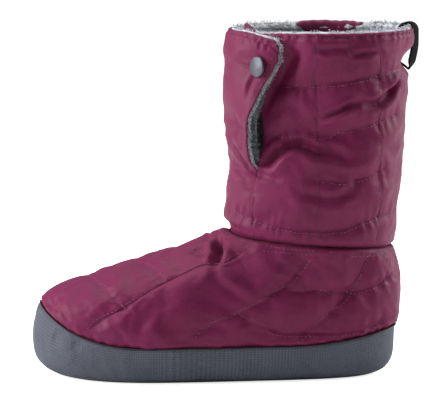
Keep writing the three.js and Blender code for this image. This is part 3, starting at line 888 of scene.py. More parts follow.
footQuilting = [
    [(-101, 42), (-88, 52), (-69, 63), (-57, 71), (-40, 80), (-24, 87), (-12, 92), (4, 94), (21, 103)],
    [(-21, 36), (1, 49), (20, 57), (39, 67), (55, 78), (64, 87), (70, 97)],
    [(59, 30), (85, 52), (103, 70), (113, 87), (120, 99)],
    [(-98, 80), (-91, 76), (-84, 72), (-76, 63), (-67, 58)],
    [(-60, 91), (-51, 88), (-46, 85), (-39, 79)],
    [(-22, 101), (-13, 99), (-7, 97)],
    [(56, 72), (75, 70), (101, 68), (125, 72), (137, 82)],
    [(14, 56), (33, 44), (49, 38), (68, 37), (95, 36), (115, 38), (134, 44)],
]
# path, depth, width and lip of each crease: negative depths are ridges
footCreases = [
    ([(-3, 91), (9, 81), (29, 70)], -0.0026, 0.005, 0),
    ([(-9, 90), (4, 79), (18, 70)], 0.0012, 0.004, 0.2),
    ([(-1, 113), (0, 107), (0, 99), (-2, 92)], 0.0105, 0.0033, 0.2),
    ([(8, 110), (8.5, 103), (7, 95)], -0.0026, 0.0036, 0),
    ([(-6, 104), (-8, 98), (-10, 92)], -0.0012, 0.004, 0),
    ([(-59, 51), (-43, 39), (-25, 35)], -0.0015, 0.006, 0),
    ([(-21, 61), (1, 55), (14, 44)], -0.0016, 0.006, 0),
    ([(-131, 60), (-125, 51)], 0.0012, 0.002, 0.6),
    ([(-126, 63), (-119, 49)], 0.0014, 0.0024, 0.6),
    ([(-119, 60), (-112, 46)], 0.001, 0.0022, 0.6),
    ([(36, 98), (52, 90), (60, 80)], 0.0009, 0.004, 0.4),
    ([(80, 98), (90, 88), (96, 78)], 0.0009, 0.0045, 0.4),
    ([(100, 98), (112, 92), (124, 92)], 0.0008, 0.004, 0.4),
]
foot = {
    "around": 430,
    "up": 104,
    "start": 0.07,  # how far below the rand's edge the cloth starts, in levels
    "shell": 0.0025,
    "puff": 0.0004,
    "deepest": 0.0098,  # no fold goes deeper
    "atAnkle": 0.0022,  # how far the ankle seam draws it in
    "atToe": 0.0016,  # and the rand's edge at the toe
    "atHeel": 0.0019,
    "innerShare": 0.6,  # how strong the creases are on the inner side
    "ripple": 0.0006,  # puckers above the rand, and how many all round
    "ripples": 62,
}


def footLevel(u, v):
    angle = u * 360
    lowest = randTop(angle)
    level = mix(lowest - foot["start"], ankleLevel, v)
    return angle, level, level - lowest


def footBase(u, v):  # from just under the rand's edge to the ankle seam
    angle, level, rise = footLevel(u, v)
    overEdge = smooth((rise - 0.01) / 0.28)
    offset = mix(-bootie["rand"] - bootie["gap"], foot["puff"], overEdge)
    atAnkle = foot["atAnkle"] * (1 - smooth((ankleLevel - level) / 0.16))
    fromToe = np.minimum(angle, 360 - angle)
    tucked = foot["atToe"] * (1 - smooth(rise / 0.6)) * (1 - smooth((fromToe - 35) / 50))
    tucked += foot["atHeel"] * (1 - smooth(rise / 1.1)) * (1 - smooth((155 - fromToe) / 45))
    atAnkle *= 0.5 + 0.5 * smooth((170 - fromToe) / 60)  # the seam is shallow behind
    return cloth(level, angle, offset - atAnkle - tucked)


def quiltedFoot():
    obj, u, v = newSheet("quiltedFoot", foot["around"], foot["up"])
    angle, level, rise = footLevel(u, v)
    where = footBase(u, v)
    out = outward(level, angle)
    lines = [(i, side, anchor(where, path, side)) for side in (-1, 1) for i, path in enumerate(footQuilting)]
    puff = blownUp("footDown", 200, 50, footBase, [line for _, _, line in lines])(where)
    puff = calmed(puff, u, v, foot["around"], foot["up"], 2)
    pulled = np.zeros(len(where))
    for i, side, line in lines:
        pulled += sewn(where, line, stitched, i * 3.1 + side)
    addCreases(pulled, where, footCreases, foot["innerShare"])
    pulled -= 0.0008 * wrinkles(where, 0.036, (1, 1, 1), 3.0)
    pulled -= 0.0002 * wrinkles(where, 0.013, (1, 1, 1.3), 8.0)
    pulled = np.minimum(pulled, foot["deepest"])
    edge = smooth(rise / 0.3) * smooth((ankleLevel - level) / 0.12)
    wave = np.sin(u * 2 * np.pi * foot["ripples"] + 3 * wobble(u, 30, 4.0))
    ripple = foot["ripple"] * wave * hump((rise - 0.18) / 0.25)
    moves = puff - out * (pulled * (0.15 + 0.85 * edge) + ripple)[:, None]
    place(obj, where + moves)
    closeSeam(obj)
    thicken(obj, foot["shell"])
    finishPiece(obj, footNylon, ["upper"])
    return obj, asTable(moves, u, v, foot["around"], foot["up"])


footShell, footMoves = quiltedFoot()
print("foot quilted")

# The quilted shaft

shaftQuilting = [
    [(49, 226), (71, 226), (101, 230), (122, 234), (142, 238)],
    [(36, 190), (50, 187), (71, 187), (90, 190), (111, 195), (134, 201), (142, 205)],
    [(77, 156), (96, 154), (115, 157), (134, 164)],
    [(11, 130), (19, 126), (43, 120), (70, 116), (96, 117), (113, 122), (136, 126)],
    [(10, 198), (19, 192)],
]
shaftSeams = [
    [(71, 262), (72, 230), (74, 202), (76, 167), (76, 142), (74, 106)],
    [(125, 264), (124, 236), (124, 209), (125, 166), (125, 131), (123, 104)],
    [(26, 157), (25, 135), (25, 112)],
]
shaftCreases = [
    ([(30, 158), (36, 168), (46, 178), (58, 183), (68, 181), (76, 177), (90, 178), (97, 172)],
     0.0056, 0.0042, 0.4),
    ([(38, 158), (50, 168), (64, 172), (82, 166)], -0.0026, 0.0065, 0),
    ([(74, 201), (84, 205), (98, 211), (110, 214)], 0.0038, 0.0022, 0.5),
    ([(76, 196), (92, 202), (108, 206)], -0.0014, 0.004, 0),
    ([(106, 217), (116, 212), (124, 214), (133, 222), (143, 231)], 0.0046, 0.003, 0.4),
    ([(110, 224), (122, 221), (134, 229), (142, 236)], -0.0012, 0.0036, 0),
    ([(57, 264), (56, 255), (52, 244), (47, 232), (42, 223), (38, 211)], 0.0074, 0.0075, 0),
    ([(49, 246), (45, 236), (40, 225), (36, 214), (33, 202)], 0.003, 0.004, 0),
    ([(71, 254), (80, 252), (86, 254), (101, 255)], 0.0016, 0.0026, 0.5),
    ([(101, 256), (102, 250), (116, 252), (124, 252)], 0.0018, 0.0022, 0.5),
    ([(48, 254), (60, 263)], 0.0018, 0.003, 0.4),
    ([(12, 181), (18, 171), (27, 161)], 0.003, 0.0034, 0.4),
    ([(12, 164), (20, 157), (25, 153)], 0.0022, 0.003, 0.4),
    ([(27, 160), (36, 157), (50, 156)], 0.0018, 0.003, 0.4),
    ([(57, 147), (77, 142), (97, 143), (111, 148)], 0.0016, 0.0036, 0.4),
    ([(55, 145), (62, 135), (69, 126)], -0.0016, 0.005, 0),
    ([(80, 168), (98, 160), (114, 152)], 0.0012, 0.004, 0.4),
    ([(86, 138), (100, 146), (112, 158)], 0.001, 0.0035, 0.4),
    ([(32, 237), (26, 233), (23, 226), (22, 217)], 0.0017, 0.002, 0.4),
    ([(17, 242), (23, 240), (28, 241)], 0.0013, 0.0015, 0.4),
    ([(31, 262), (31, 255)], 0.0013, 0.0012, 0.5),
    ([(36, 260), (35, 254)], 0.001, 0.0012, 0.5),
    ([(25, 263), (25, 257)], 0.0009, 0.0012, 0.5),
    ([(20, 262), (19, 256)], 0.0009, 0.0014, 0.5),
    ([(100, 196), (116, 188), (124, 178)], 0.0012, 0.004, 0.4),
    ([(46, 216), (58, 208), (66, 198)], 0.0012, 0.005, 0.3),
    ([(28, 118), (40, 128), (52, 132)], 0.001, 0.004, 0.4),
]
shaft = {
    "around": 300,
    "up": 112,
    "start": 0.02,  # how far above the ankle seam the cloth starts, in levels
    "shell": 0.0013,
    "hem": 0.0035,  # from the rim down to the hem's stitches
    "deepest": 0.0094,
    "atSeam": 0.0024,  # how far the ankle seam draws it in
    "atRim": 0.0014,
    "innerShare": 0.55,
    "ripple": 0.0005,  # puckers at the hem's stitches, and how many all round
    "ripples": 58,
}
shaftStart = ankleLevel + shaft["start"]


def shaftBase(u, v):
    level = mix(shaftStart, collarLevel, v)
    fromSeam = (level - ankleLevel) / 0.3
    fromRim = (collarLevel - level) / 0.16
    fromBack = np.abs(vent["angle"] + 360 * u - 180)
    atSeam = shaft["atSeam"] * (0.45 + 0.55 * smooth((fromBack - 10) / 60))  # shallow behind
    offset = -atSeam * (1 - smooth(fromSeam)) - shaft["atRim"] * (1 - smooth(fromRim)) ** 2
    return shaftPoint(u, level, offset)


def quiltedShaft():
    obj, u, v = newSheet("quiltedShaft", shaft["around"], shaft["up"])
    level = mix(shaftStart, collarLevel, v)
    where = shaftBase(u, v)
    ahead = shaftBase(np.minimum(u + 0.004, 1), v) - shaftBase(np.maximum(u - 0.004, 0), v)
    above = shaftBase(u, np.minimum(v + 0.005, 1)) - shaftBase(u, np.maximum(v - 0.005, 0))
    out = np.cross(ahead, above)
    out /= np.linalg.norm(out, axis=1, keepdims=True)
    height = form(np.minimum(level, collarLevel), np.full(level.shape, float(vent["angle"])))[..., 2]
    _, flap, under, _, _, _ = ventAt(height)
    angle = mix(vent["angle"] - under, vent["angle"] + 360 + flap, u)
    visible = angle > vent["angle"] + flap - 1  # clear of the flap
    surface = where[visible]
    quilting = []
    seams = []
    for side in (-1, 1):
        quilting += [(i, side, anchor(surface, path, side)) for i, path in enumerate(shaftQuilting)]
        seams += [(i, side, anchor(surface, path, side)) for i, path in enumerate(shaftSeams)]
    puff = blownUp("shaftDown", 170, 64, shaftBase, [line for _, _, line in quilting])(where)
    puff = calmed(puff, u, v, shaft["around"], shaft["up"], 4)
    folds = np.zeros(len(surface))
    for i, side, line in quilting:
        folds += sewn(surface, line, stitched, i * 2.7 + side + 40)
    for i, side, line in seams:
        folds += sewn(surface, line, seamed, i * 1.9 + side + 70)
    addCreases(folds, surface, shaftCreases, shaft["innerShare"])
    pulled = np.zeros(len(where))
    pulled[visible] = folds
    pulled -= 0.0009 * wrinkles(where, 0.04, (1, 1, 1.7), 13.0)
    pulled -= 0.00022 * wrinkles(where, 0.014, (1, 1, 1.5), 21.0)
    hemAt = (collarLevel - level) * levelRise - shaft["hem"]
    hem = 0.0011 * np.exp(-((hemAt / 0.0012) ** 2))
    wave = np.sin(u * 2 * np.pi * shaft["ripples"] + 3 * wobble(u, 40, 9.0))
    ripple = shaft["ripple"] * wave * np.exp(-((hemAt / 0.0036) ** 2))
    calm = smooth((level - ankleLevel) / 0.375) * (0.25 + 0.75 * smooth((collarLevel - level) / 0.4))
    notch = np.linalg.norm(where - np.array([bootie["notchX"], 0, bootie["notchZ"]]), axis=1)
    puff *= (0.1 + 0.9 * smooth(notch / 0.03))[:, None]
    depth = np.minimum(pulled * calm + hem + ripple, shaft["deepest"])
    moves = puff - out * depth[:, None]
    place(obj, where + moves)
    closeSeam(obj)
    thicken(obj, shaft["shell"])
    finishPiece(obj, shaftNylon, ["shaft"])
    return obj, asTable(moves, u, v, shaft["around"], shaft["up"])


shaftShell, shaftMoves = quiltedShaft()
print("shaft quilted")

# The fleece lining

fleece = {
    "atEdge": 0.0018,  # from the shaft's outer cloth in to the fleece, at the rim and along the flap
    "inside": 0.0042,  # and away from them
    "insideFoot": 0.0042,
    "thick": 0.0032,
    "above": 0.0013,  # how far it stands over the rim
    "pastFlap": 0.0012,
    "belowFlap": 0.0028,  # how much further it stands out lower down
    "pastUnder": 0.0008,
}


def shaftMovesAt(u, level):  # how the outer cloth moved there, for what follows it
    return fromTable(shaftMoves, u, (level - shaftStart) / (collarLevel - shaftStart))


def shaftLining():
    obj, u, v = newSheet("shaftLining", 240, 84)
    top = collarLevel + fleece["above"] / levelRise
    level = mix(shaftStart, top, v)
    rounding = 0.0018 * (1 - smooth((top - level) / 0.16)) ** 2
    height = form(np.minimum(level, collarLevel), np.full(level.shape, float(vent["angle"])))[..., 2]
    opened = smooth((height - vent["bottom"]) / 0.01) * (1 - smooth((height - 0.205) / 0.045))
    turnedIn = 0.005 * smooth((u - 0.984) / 0.016) * opened
    atEdge = np.maximum(smooth((level - collarLevel + 0.35) / 0.25),
                        np.maximum(smooth((u - 0.975) / 0.015), 1 - smooth((u - 0.01) / 0.02)))
    inside = mix(fleece["inside"], fleece["atEdge"], atEdge)
    inside += 0.005 * (1 - smooth((level - ankleLevel) / 0.3))
    where = shaftPoint(u, level, -inside - rounding - turnedIn,
                       fleece["pastFlap"] + fleece["belowFlap"] * opened, fleece["pastUnder"])
    where += shaftMovesAt(u, level)
    lumps = 0.0005 * wrinkles(where, 0.004, (1, 1, 1), 31.0)
    middle = where.mean(0) * np.array([1, 1, 0]) + where * np.array([0, 0, 1])
    away = where - middle
    away /= np.linalg.norm(away, axis=1, keepdims=True)
    place(obj, where + away * lumps[:, None])
    closeSeam(obj)
    thicken(obj, fleece["thick"])
    finishPiece(obj, lining, [])
    return obj


def footLining():
    obj, u, v = newSheet("footLining", 200, 60)
    angle = u * 360
    level = mix(soleLevel + 0.12, ankleLevel, v)
    inRand = (bootie["rand"] + bootie["gap"]) * (1 - smooth((level - randTop(angle)) / 1.2))
    where = cloth(level, angle, -inRand - fleece["insideFoot"])
    lowest = randTop(angle) - foot["start"]
    where += fromTable(footMoves, u, (level - lowest) / (ankleLevel - lowest))
    where += outward(level, angle) * (0.0004 * wrinkles(where, 0.005, (1, 1, 1), 35.0))[:, None]
    place(obj, where)
    closeSeam(obj)
    thicken(obj, fleece["thick"] * 0.6)
    finishPiece(obj, lining, [])


shaftFleece = shaftLining()
footLining()
print("lining made")

# On the inner side the outer cloth rolls in over the rim
rolledHem = {
    "from": 220,  # degrees
    "to": 294,
    # out from the form and up from the collar, in millimetres, over the rim and down inside
    "profile": [(0.9, -5), (0.9, -2), (0.6, 0), (-0.8, 1.4), (-3, 1.9), (-5, 1.2), (-6.4, -0.8), (-7, -4),
                (-7.2, -9)],
}


def hemOverRim():
    obj, u, v = newSheet("rolledHem", 110, 26)
    profile = curveThrough(rolledHem["profile"], 0.3) * 0.001
    lengths = lengthsAlong(profile)
    ends = smooth(u / 0.5) * smooth((1 - u) / 0.3)
    t = mix(0.12, v, ends) * lengths[-1]
    out = np.interp(t, lengths, profile[:, 0])
    up = np.interp(t, lengths, profile[:, 1])
    angle = mix(rolledHem["from"], rolledHem["to"], u)
    wave = np.sin(u * 2 * np.pi * 9 + 1.3 * np.sin(u * 17))
    up = up * mix(0.3, 1, ends) - 0.0022 * (1 - ends) * v + 0.0004 * wave * v
    where = cloth(np.full(u.shape, float(collarLevel)), angle, out)
    where[:, 2] = bootie["collar"] + up
    where += 0.0005 * wrinkles(where, 0.009, (1, 1, 1), 61.0)[:, None] * np.array([0, 0.6, 1])
    place(obj, where)
    thicken(obj, 0.0007)
    finishPiece(obj, shaftNylon, [])
    return obj


overRim = hemOverRim()

# The rand, tread pad and insole

# Dents in the rand's outer side: path, depth and width
randDents = [
    ([(-128, 36), (-120, 33)], 0.0012, 0.008),
    ([(-113, 30), (-104, 26)], 0.001, 0.006),
    ([(20, 14), (30, 20)], 0.0008, 0.007),
    ([(64, 12), (70, 22)], 0.0008, 0.006),
]


def randStrip():
    obj, u, v = newSheet("canvasRand", 396, 44)
    angle = u * 360
    level = mix(np.full(u.shape, 0.16), randTop(angle), v)
    where = cloth(level, angle, 0.0)
    out = outward(level, angle)
    rounding = 0.0007 * (1 - smooth((1 - v) / 0.05)) ** 2
    dents = 0.0011 * wrinkles(where, 0.05, (1, 1, 0.6), 44.0)
    dents += 0.0003 * wrinkles(where, 0.012, (1, 1, 0.5), 47.0)
    for path, depth, width in randDents:
        dents += creased(where, anchor(where, path, -1), depth, width, 0.3)
    hold = smooth(level / 1.2)
    place(obj, where - out * (rounding + dents * hold)[:, None])
    closeSeam(obj)
    thicken(obj, bootie["rand"] * 0.9)
    finishPiece(obj, canvas, ["rand"])


piping = {
    "around": 240,
    "radius": 0.0006,
    "wide": 1.5,  # how much wider than tall
    "inside": 0.0011,  # where it lies, from the rand's upper edge
    "above": 0.0002,
}


def randEdging():
    around = piping["around"]
    angle = np.linspace(0, 360, around + 1)[:-1]
    middle = cloth(randTop(angle), angle, np.full(around, -piping["inside"]))
    middle[:, 2] += piping["above"]
    out = outward(randTop(angle), angle)
    ahead = np.roll(middle, -1, axis=0) - np.roll(middle, 1, axis=0)
    ahead /= np.linalg.norm(ahead, axis=1, keepdims=True)
    up = np.cross(out, ahead)
    vertices = []
    faces = []
    for i in range(around):
        for k in range(8):
            a = k * math.pi / 4
            away = out[i] * math.cos(a) * piping["wide"] + up[i] * math.sin(a)
            vertices.append(tuple(middle[i] + away * piping["radius"]))
            n = (i + 1) % around
            faces.append((i * 8 + k, i * 8 + (k + 1) % 8, n * 8 + (k + 1) % 8, n * 8 + k))
    obj = meshPiece("randEdging", vertices, faces)
    recalculate(obj)
    finishPiece(obj, edging, [])


# The tread's sheet runs from the middle of the bottom out to its lip, up the side and in over the top
tread = {
    "bottom": 0.72,  # where along the sheet the bottom, the lip and the side end
    "lip": 0.75,
    "side": 0.88,
    "over": 0.12,
    "arch": 0.0012,
    "groove": 0.0011,
    "pitch": 0.011,
    "lipRise": 0.0023,
}


def archAt(x):
    return tread["arch"] * hump(((x - toeX) / bootie["length"] - 0.66) / 0.14)


def fromSpine(angle, edge, share):  # from the line along the middle of the foot out to an edge
    middle = np.zeros(edge.shape)
    ends = 0.2 * bootie["length"]
    middle[:, 0] = np.clip(form(np.zeros(angle.shape), angle)[:, 0], toeX + ends, heelX - ends)
    return mix(middle, edge, share[:, None])


def treadSole():
    obj, u, v = newSheet("treadSole", 300, 96)
    angle = u * 360
    zero = np.zeros(u.shape)
    bottom = cloth(zero, angle, zero) * np.array([0.97, 0.97, 1])
    share = v / tread["bottom"]
    under = fromSpine(angle, bottom, np.clip(share, 0, 1))
    wave = np.sin(2 * np.pi * (under[:, 0] / tread["pitch"] + 0.35 * np.sin(under[:, 1] / 0.0045)))
    inside = smooth((0.985 - share) / 0.04) * smooth((share - 0.03) / 0.03)
    groove = tread["groove"] * smooth((wave - 0.15) / 0.35) * inside
    under[:, 2] = 0.5 * springAt(under[:, 0]) + archAt(under[:, 0]) + groove
    lip = bottom.copy()
    lip[:, 2] = 0.5 * springAt(lip[:, 0]) + archAt(lip[:, 0]) + tread["lipRise"]
    backed = bootie["rand"] + bootie["gap"]
    climb = np.clip((v - 0.76) / tread["over"], 0, 1)
    side = cloth(mix(zero + 0.55, zero + soleLevel, climb), angle, -backed - 0.0004 * (1 - climb))
    rim = cloth(zero + soleLevel, angle, zero - backed)
    top = fromSpine(angle, rim, np.clip((1 - v) / tread["over"], 0, 1))
    top[:, 2] = bootie["sole"] + 0.6 * springAt(top[:, 0])
    row = v - 0.0005  # so that a row right at an end still counts
    where = np.where((row < tread["lip"])[:, None], lip, side)
    where = np.where((row < tread["bottom"])[:, None], under, where)
    where = np.where((row > tread["side"])[:, None], top, where)
    place(obj, where)
    closeSeam(obj)
    recalculate(obj)
    finishPiece(obj, rubber, ["tread_pad"])


def footbed():
    obj, u, v = newSheet("footbed", 200, 60)
    angle = u * 360
    zero = np.zeros(u.shape)
    inward = bootie["rand"] + bootie["wall"] + 2 * bootie["gap"] + 0.0007
    edge = cloth(zero + soleLevel + 0.1, angle, zero - inward)
    share = np.where(v < 0.3, v / 0.3, np.clip((1 - v) / 0.62, 0, 1))
    where = fromSpine(angle, edge, share)
    base = bootie["sole"] + 0.6 * springAt(where[:, 0]) + bootie["gap"]
    crown = 0.005 - 0.0012 * smooth((share - 0.8) / 0.2)
    heelCup = 0.0009 * np.exp(-(((where[:, 0] - 0.095) / 0.03) ** 2) - (where[:, 1] / 0.025) ** 2)
    tufts = 0.0004 * wrinkles(where, 0.006, (1, 1, 1), 51.0)
    where[:, 2] = np.where(v < 0.3, base, base + crown - heelCup + tufts)
    climbing = (v >= 0.3) & (v < 0.38)
    where[:, 2] = np.where(climbing, base + 0.0038 * (v - 0.3) / 0.08, where[:, 2])
    place(obj, where)
    closeSeam(obj)
    recalculate(obj)
    finishPiece(obj, footbedFleece, ["insole"])


randStrip()
randEdging()
treadSole()
footbed()
print("sole, rand and footbed made")

# The snap, turned about its own axis

snap = {
    "radius": 0.008,
    "turned": 15,  # degrees towards the front, as the puffed flap turns it
    # radius and height up the cap, in shares of the radius
    "cap": [(0.9, 0), (0.985, 0.03), (1, 0.09), (0.985, 0.15), (0.93, 0.2), (0.86, 0.225), (0.8, 0.226),
            (0.72, 0.24), (0.5, 0.285), (0.25, 0.315)],
}


def snapCap():
    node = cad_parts["snap_cap"]
    solid = points(node)
    middle = solid.mean(0)
    _, ways = np.linalg.eigh(np.cov((solid - middle).T))
    axis = ways[:, 0]
    if axis @ (middle - np.array([ankleX, 0, middle[2]])) < 0:
        axis = -axis
    depths = (solid - middle) @ axis
    seat = middle + axis * depths.min()
    deselect()
    firstRadius = snap["radius"] * snap["cap"][0][0]
    bpy.ops.mesh.primitive_circle_add(vertices=48, radius=firstRadius, fill_type="NGON")
    cap = bpy.context.object
    cap.name = "snapCap"
    bpy.ops.object.mode_set(mode="EDIT")
    bpy.ops.mesh.select_all(action="SELECT")
    before = snap["cap"][0]
    for step in snap["cap"][1:]:
        rise = (step[1] - before[1]) * snap["radius"]
        bpy.ops.mesh.extrude_region_move(TRANSFORM_OT_translate={"value": (0, 0, rise)})
        ratio = step[0] / before[0]
        bpy.ops.transform.resize(value=(ratio, ratio, 1), center_override=(0, 0, 0))
        before = step
    bpy.ops.mesh.poke()
    bpy.ops.mesh.select_all(action="SELECT")
    bpy.ops.mesh.normals_make_consistent(inside=False)
    bpy.ops.object.mode_set(mode="OBJECT")
    turned = Quaternion((0, 0, 1), math.radians(-snap["turned"]))
    turn = turned @ Vector((0, 0, 1)).rotation_difference(Vector(axis))
    cap.rotation_mode = "QUATERNION"
    cap.rotation_quaternion = turn
    cap.location = Vector(seat)
    bpy.ops.object.transform_apply(location=True, rotation=True, scale=True)
    finishPiece(cap, snapMetal, ["snap_cap"])


snapCap()
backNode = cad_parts["snap_back"]
backNode.data.materials.clear()
backNode.data.materials.append(snapMetal)

# The pull loop: the strap's route follows the solid's. up is from the collar where over is true, else from
# the notch; out is from the collar's back, from the inner face, or from the outer face.
loop = {
    "width": 0.01,
    "thickness": 0.0018,
    "notch": 0.2415,
    "twist": 38,  # degrees that the free stretch turns about its own length
    "rows": 130,
    "ribs": 45,
    "step": 0.0004,  # how far each way the route is looked at for its direction
    "route": [
        (True, -13, -1.9, "inside"), (True, -7, -1.9, "inside"), (True, 0.5, -2.2, "inside"),
        (True, 3.6, -4.6, "rim"), (True, 3.3, -0.8, "rim"), (True, 0.2, 1.6, "rim"),
        (True, -6, 1.9, "rim"), (True, -15, 1.7, "rim"), (True, -24, 0, "rim"),
        (True, -29, -1.3, "rim"), (True, -31.2, -2.9, "rim"),
        (False, -4.5, 4, "outside"), (False, 0, 2.5, "outside"), (False, 4.5, 2.6, "outside"),
    ],
}


def pullLoop():
    def backX(height, offset):
        level = levelAtHeight(np.array([height]), np.array([180.0]))
        return cloth(level, np.array([180.0]), np.array([offset]))[0][0]

    rimX = backX(bootie["collar"], 0.0)
    route = []
    for over, up, out, face in loop["route"]:
        height = (bootie["collar"] if over else loop["notch"]) + up * 0.001
        if face == "inside":
            x = backX(min(height, bootie["collar"]), -bootie["wall"] + out * 0.001)
        elif face == "rim":
            x = rimX + out * 0.001
        else:
            x = backX(height, 0.0) + out * 0.001
        route.append((x * 1000, height * 1000))
    path = curveThrough(route, 0.5) * 0.001
    lengths = lengthsAlong(path)

    def middleAt(t):
        x, z = [np.interp(t, lengths, path[:, k]) for k in (0, 1)]
        return np.stack([x, np.zeros(len(t)), z], -1)

    obj, u, v = newSheet("pullLoop", 28, loop["rows"])
    t = v * lengths[-1]
    ahead = middleAt(t + loop["step"]) - middleAt(t - loop["step"])
    ahead /= np.linalg.norm(ahead, axis=1, keepdims=True)
    twist = np.radians(loop["twist"]) * smooth((v - 0.27) / 0.13) * (1 - smooth((v - 0.7) / 0.12))
    flat = np.broadcast_to(np.array([0, 1.0, 0]), ahead.shape)
    across = flat * np.cos(twist)[:, None] + np.cross(ahead, flat) * np.sin(twist)[:, None]
    normal = np.cross(across, ahead)
    around = u * 2 * np.pi
    wide = np.sign(np.cos(around)) * np.abs(np.cos(around)) ** 0.35 * loop["width"] / 2
    deep = np.sign(np.sin(around)) * np.abs(np.sin(around)) ** 0.6 * loop["thickness"] / 2
    ribs = 1 + 0.06 * np.sin(v * 2 * np.pi * loop["ribs"])
    closing = np.clip(np.minimum(v, 1 - v) * loop["rows"], 0, 1)  # the ends close on a line
    place(obj, middleAt(t) + across * wide[:, None] - normal * (deep * ribs * closing)[:, None])
    closeSeam(obj)
    recalculate(obj)
    finishPiece(obj, webbing, ["pull_loop"])


pullLoop()
print("snap and loop made")

# Stitches: one joined mesh for each part of the bootie

def surfaceOf(obj):
    polygons = [tuple(face.vertices) for face in obj.data.polygons]
    return BVHTree.FromPolygons([tuple(p) for p in points(obj)], polygons)


# lift: how far a stitch stands proud of the cloth
stitch = {"pitch": 0.0032, "length": 0.0022, "radius": 0.00027, "lift": 0.00016}
seamStitch = {"pitch": 0.0026, "length": 0.0023, "radius": 0.0003, "lift": 0.00005}
deepFold = 0.0034  # a stitch this far from its line is lost in a fold, and left out


def stitchMesh(name, obj, lines, kind, material):
    pitch, length, radius, lift = kind["pitch"], kind["length"], kind["radius"], kind["lift"]
    surface = surfaceOf(obj)
    vertices = []
    faces = []
    for line in lines:
        lengths = lengthsAlong(line)
        at = pitch
        while at < lengths[-1] - pitch:
            ends = []
            for s in (at - length / 2, at, at + length / 2):
                guess = Vector([np.interp(s, lengths, line[:, k]) for k in range(3)])
                spot, normal, _, away = surface.find_nearest(guess)
                ends.append((spot, normal, away))
            at += pitch
            if max(end[2] for end in ends) > deepFold:
                continue
            way = (ends[2][0] - ends[0][0]).normalized()
            side = way.cross(ends[1][1]).normalized()
            base = len(vertices)
            vertices.append(tuple(ends[0][0] - ends[0][1] * radius * 0.5))
            for share, (spot, normal, _) in ((0.75, ends[0]), (1, ends[1]), (0.75, ends[2])):
                inset = way * (length * 0.12 if share < 1 and spot == ends[0][0] else 0)
                for c, s in ((1, 0), (0, 1), (-1, 0), (0, -1)):
                    across = (side * c + normal * s) * radius * share
                    vertices.append(tuple(spot + inset + normal * lift + across))
            vertices.append(tuple(ends[2][0] + way * length * 0.12 - ends[2][1] * radius * 0.5))
            for k in range(4):
                n = (k + 1) % 4
                faces.append((base, base + 1 + n, base + 1 + k))
                faces.append((base + 1 + k, base + 1 + n, base + 5 + n, base + 5 + k))
                faces.append((base + 5 + k, base + 5 + n, base + 9 + n, base + 9 + k))
                faces.append((base + 9 + k, base + 9 + n, base + 13))
    piece = meshPiece(name, vertices, faces)
    recalculate(piece)
    finishPiece(piece, material)
    return piece


def sideLines(obj, paths):
    where = points(obj)
    return [anchor(where, path, side) for side in (-1, 1) for path in paths]


def ringLine(level):
    angle = np.linspace(0, 360, 160)
    return cloth(np.full(160, level), angle, np.zeros(160))


def hemLine(below):
    u = np.linspace(0.001, 0.999, 200)
    level = np.full(200, collarLevel - below / levelRise)
    return shaftPoint(u, level, np.zeros(200))


collarRound = 0.43  # metres round the collar, flap and the layer below it included


def flapLine(inset):
    v = np.linspace(0, 1, 60)
    level = mix(ventLevel(0.004), collarLevel - 0.3, v)
    return shaftPoint(np.full(60, 1 - inset / collarRound), level, np.zeros(60))


footLines = sideLines(footShell, footQuilting) + [ringLine(ankleLevel - 0.26), ringLine(ankleLevel - 0.56)]
footStitches = stitchMesh("footStitches", footShell, footLines, stitch, thread)
shaftLines = sideLines(shaftShell, shaftQuilting) + [hemLine(shaft["hem"]), flapLine(0.0035)]
shaftStitches = stitchMesh("shaftStitches", shaftShell, shaftLines, stitch, thread)
seamLines = stitchMesh("shaftSeams", shaftShell, sideLines(shaftShell, shaftSeams), seamStitch, seamThread)
print("stitches sewn")

# Pile at the rim and in the vent, and a paler fleece edge along the flap's cloth: the fleece's own colours,
# made paler as a painted highlight where the edge catches the light

pile = {
    "rim": 7000,  # how many tufts
    "vent": 2600,
    "edge": 1900,
    "length": 0.0014,
    "ventLength": 0.0015,
    "radius": 0.0004,
    "band": 0.007,  # how far down from the collar the rim's tufts start
    "nearFlap": 0.0075,  # how far from the flap's edge the vent's tufts start
    "lean": 0.45,
    "curl": 0.35,  # how far a tuft's tip strays, as a share of its length
    "clearOfHem": 0.0018,
    "edgeReach": 0.0024,  # how far past the flap's edge the edging's tufts start
    "edgeRadius": 0.0003,
}


def addTuft(vertices, faces, root, way, length, radius, curl):
    side = way.orthogonal().normalized()
    other = way.cross(side)
    base = len(vertices)
    for height, wide in ((0, 1), (0.55, 0.8)):
        centre = root + way * length * height + curl * height * height
        for k in range(3):
            a = 2 * math.pi * k / 3
            vertices.append(tuple(centre + (side * math.cos(a) + other * math.sin(a)) * radius * wide))
    vertices.append(tuple(root + way * length + curl))
    faces.append((base, base + 2, base + 1))
    for k in range(3):
        n = (k + 1) % 3
        faces.append((base + k, base + n, base + 3 + n, base + 3 + k))
        faces.append((base + 3 + k, base + 3 + n, base + 6))


def anyWay(much):
    return Vector((random.gauss(0, 1), random.gauss(0, 1), random.gauss(0, 1))) * much


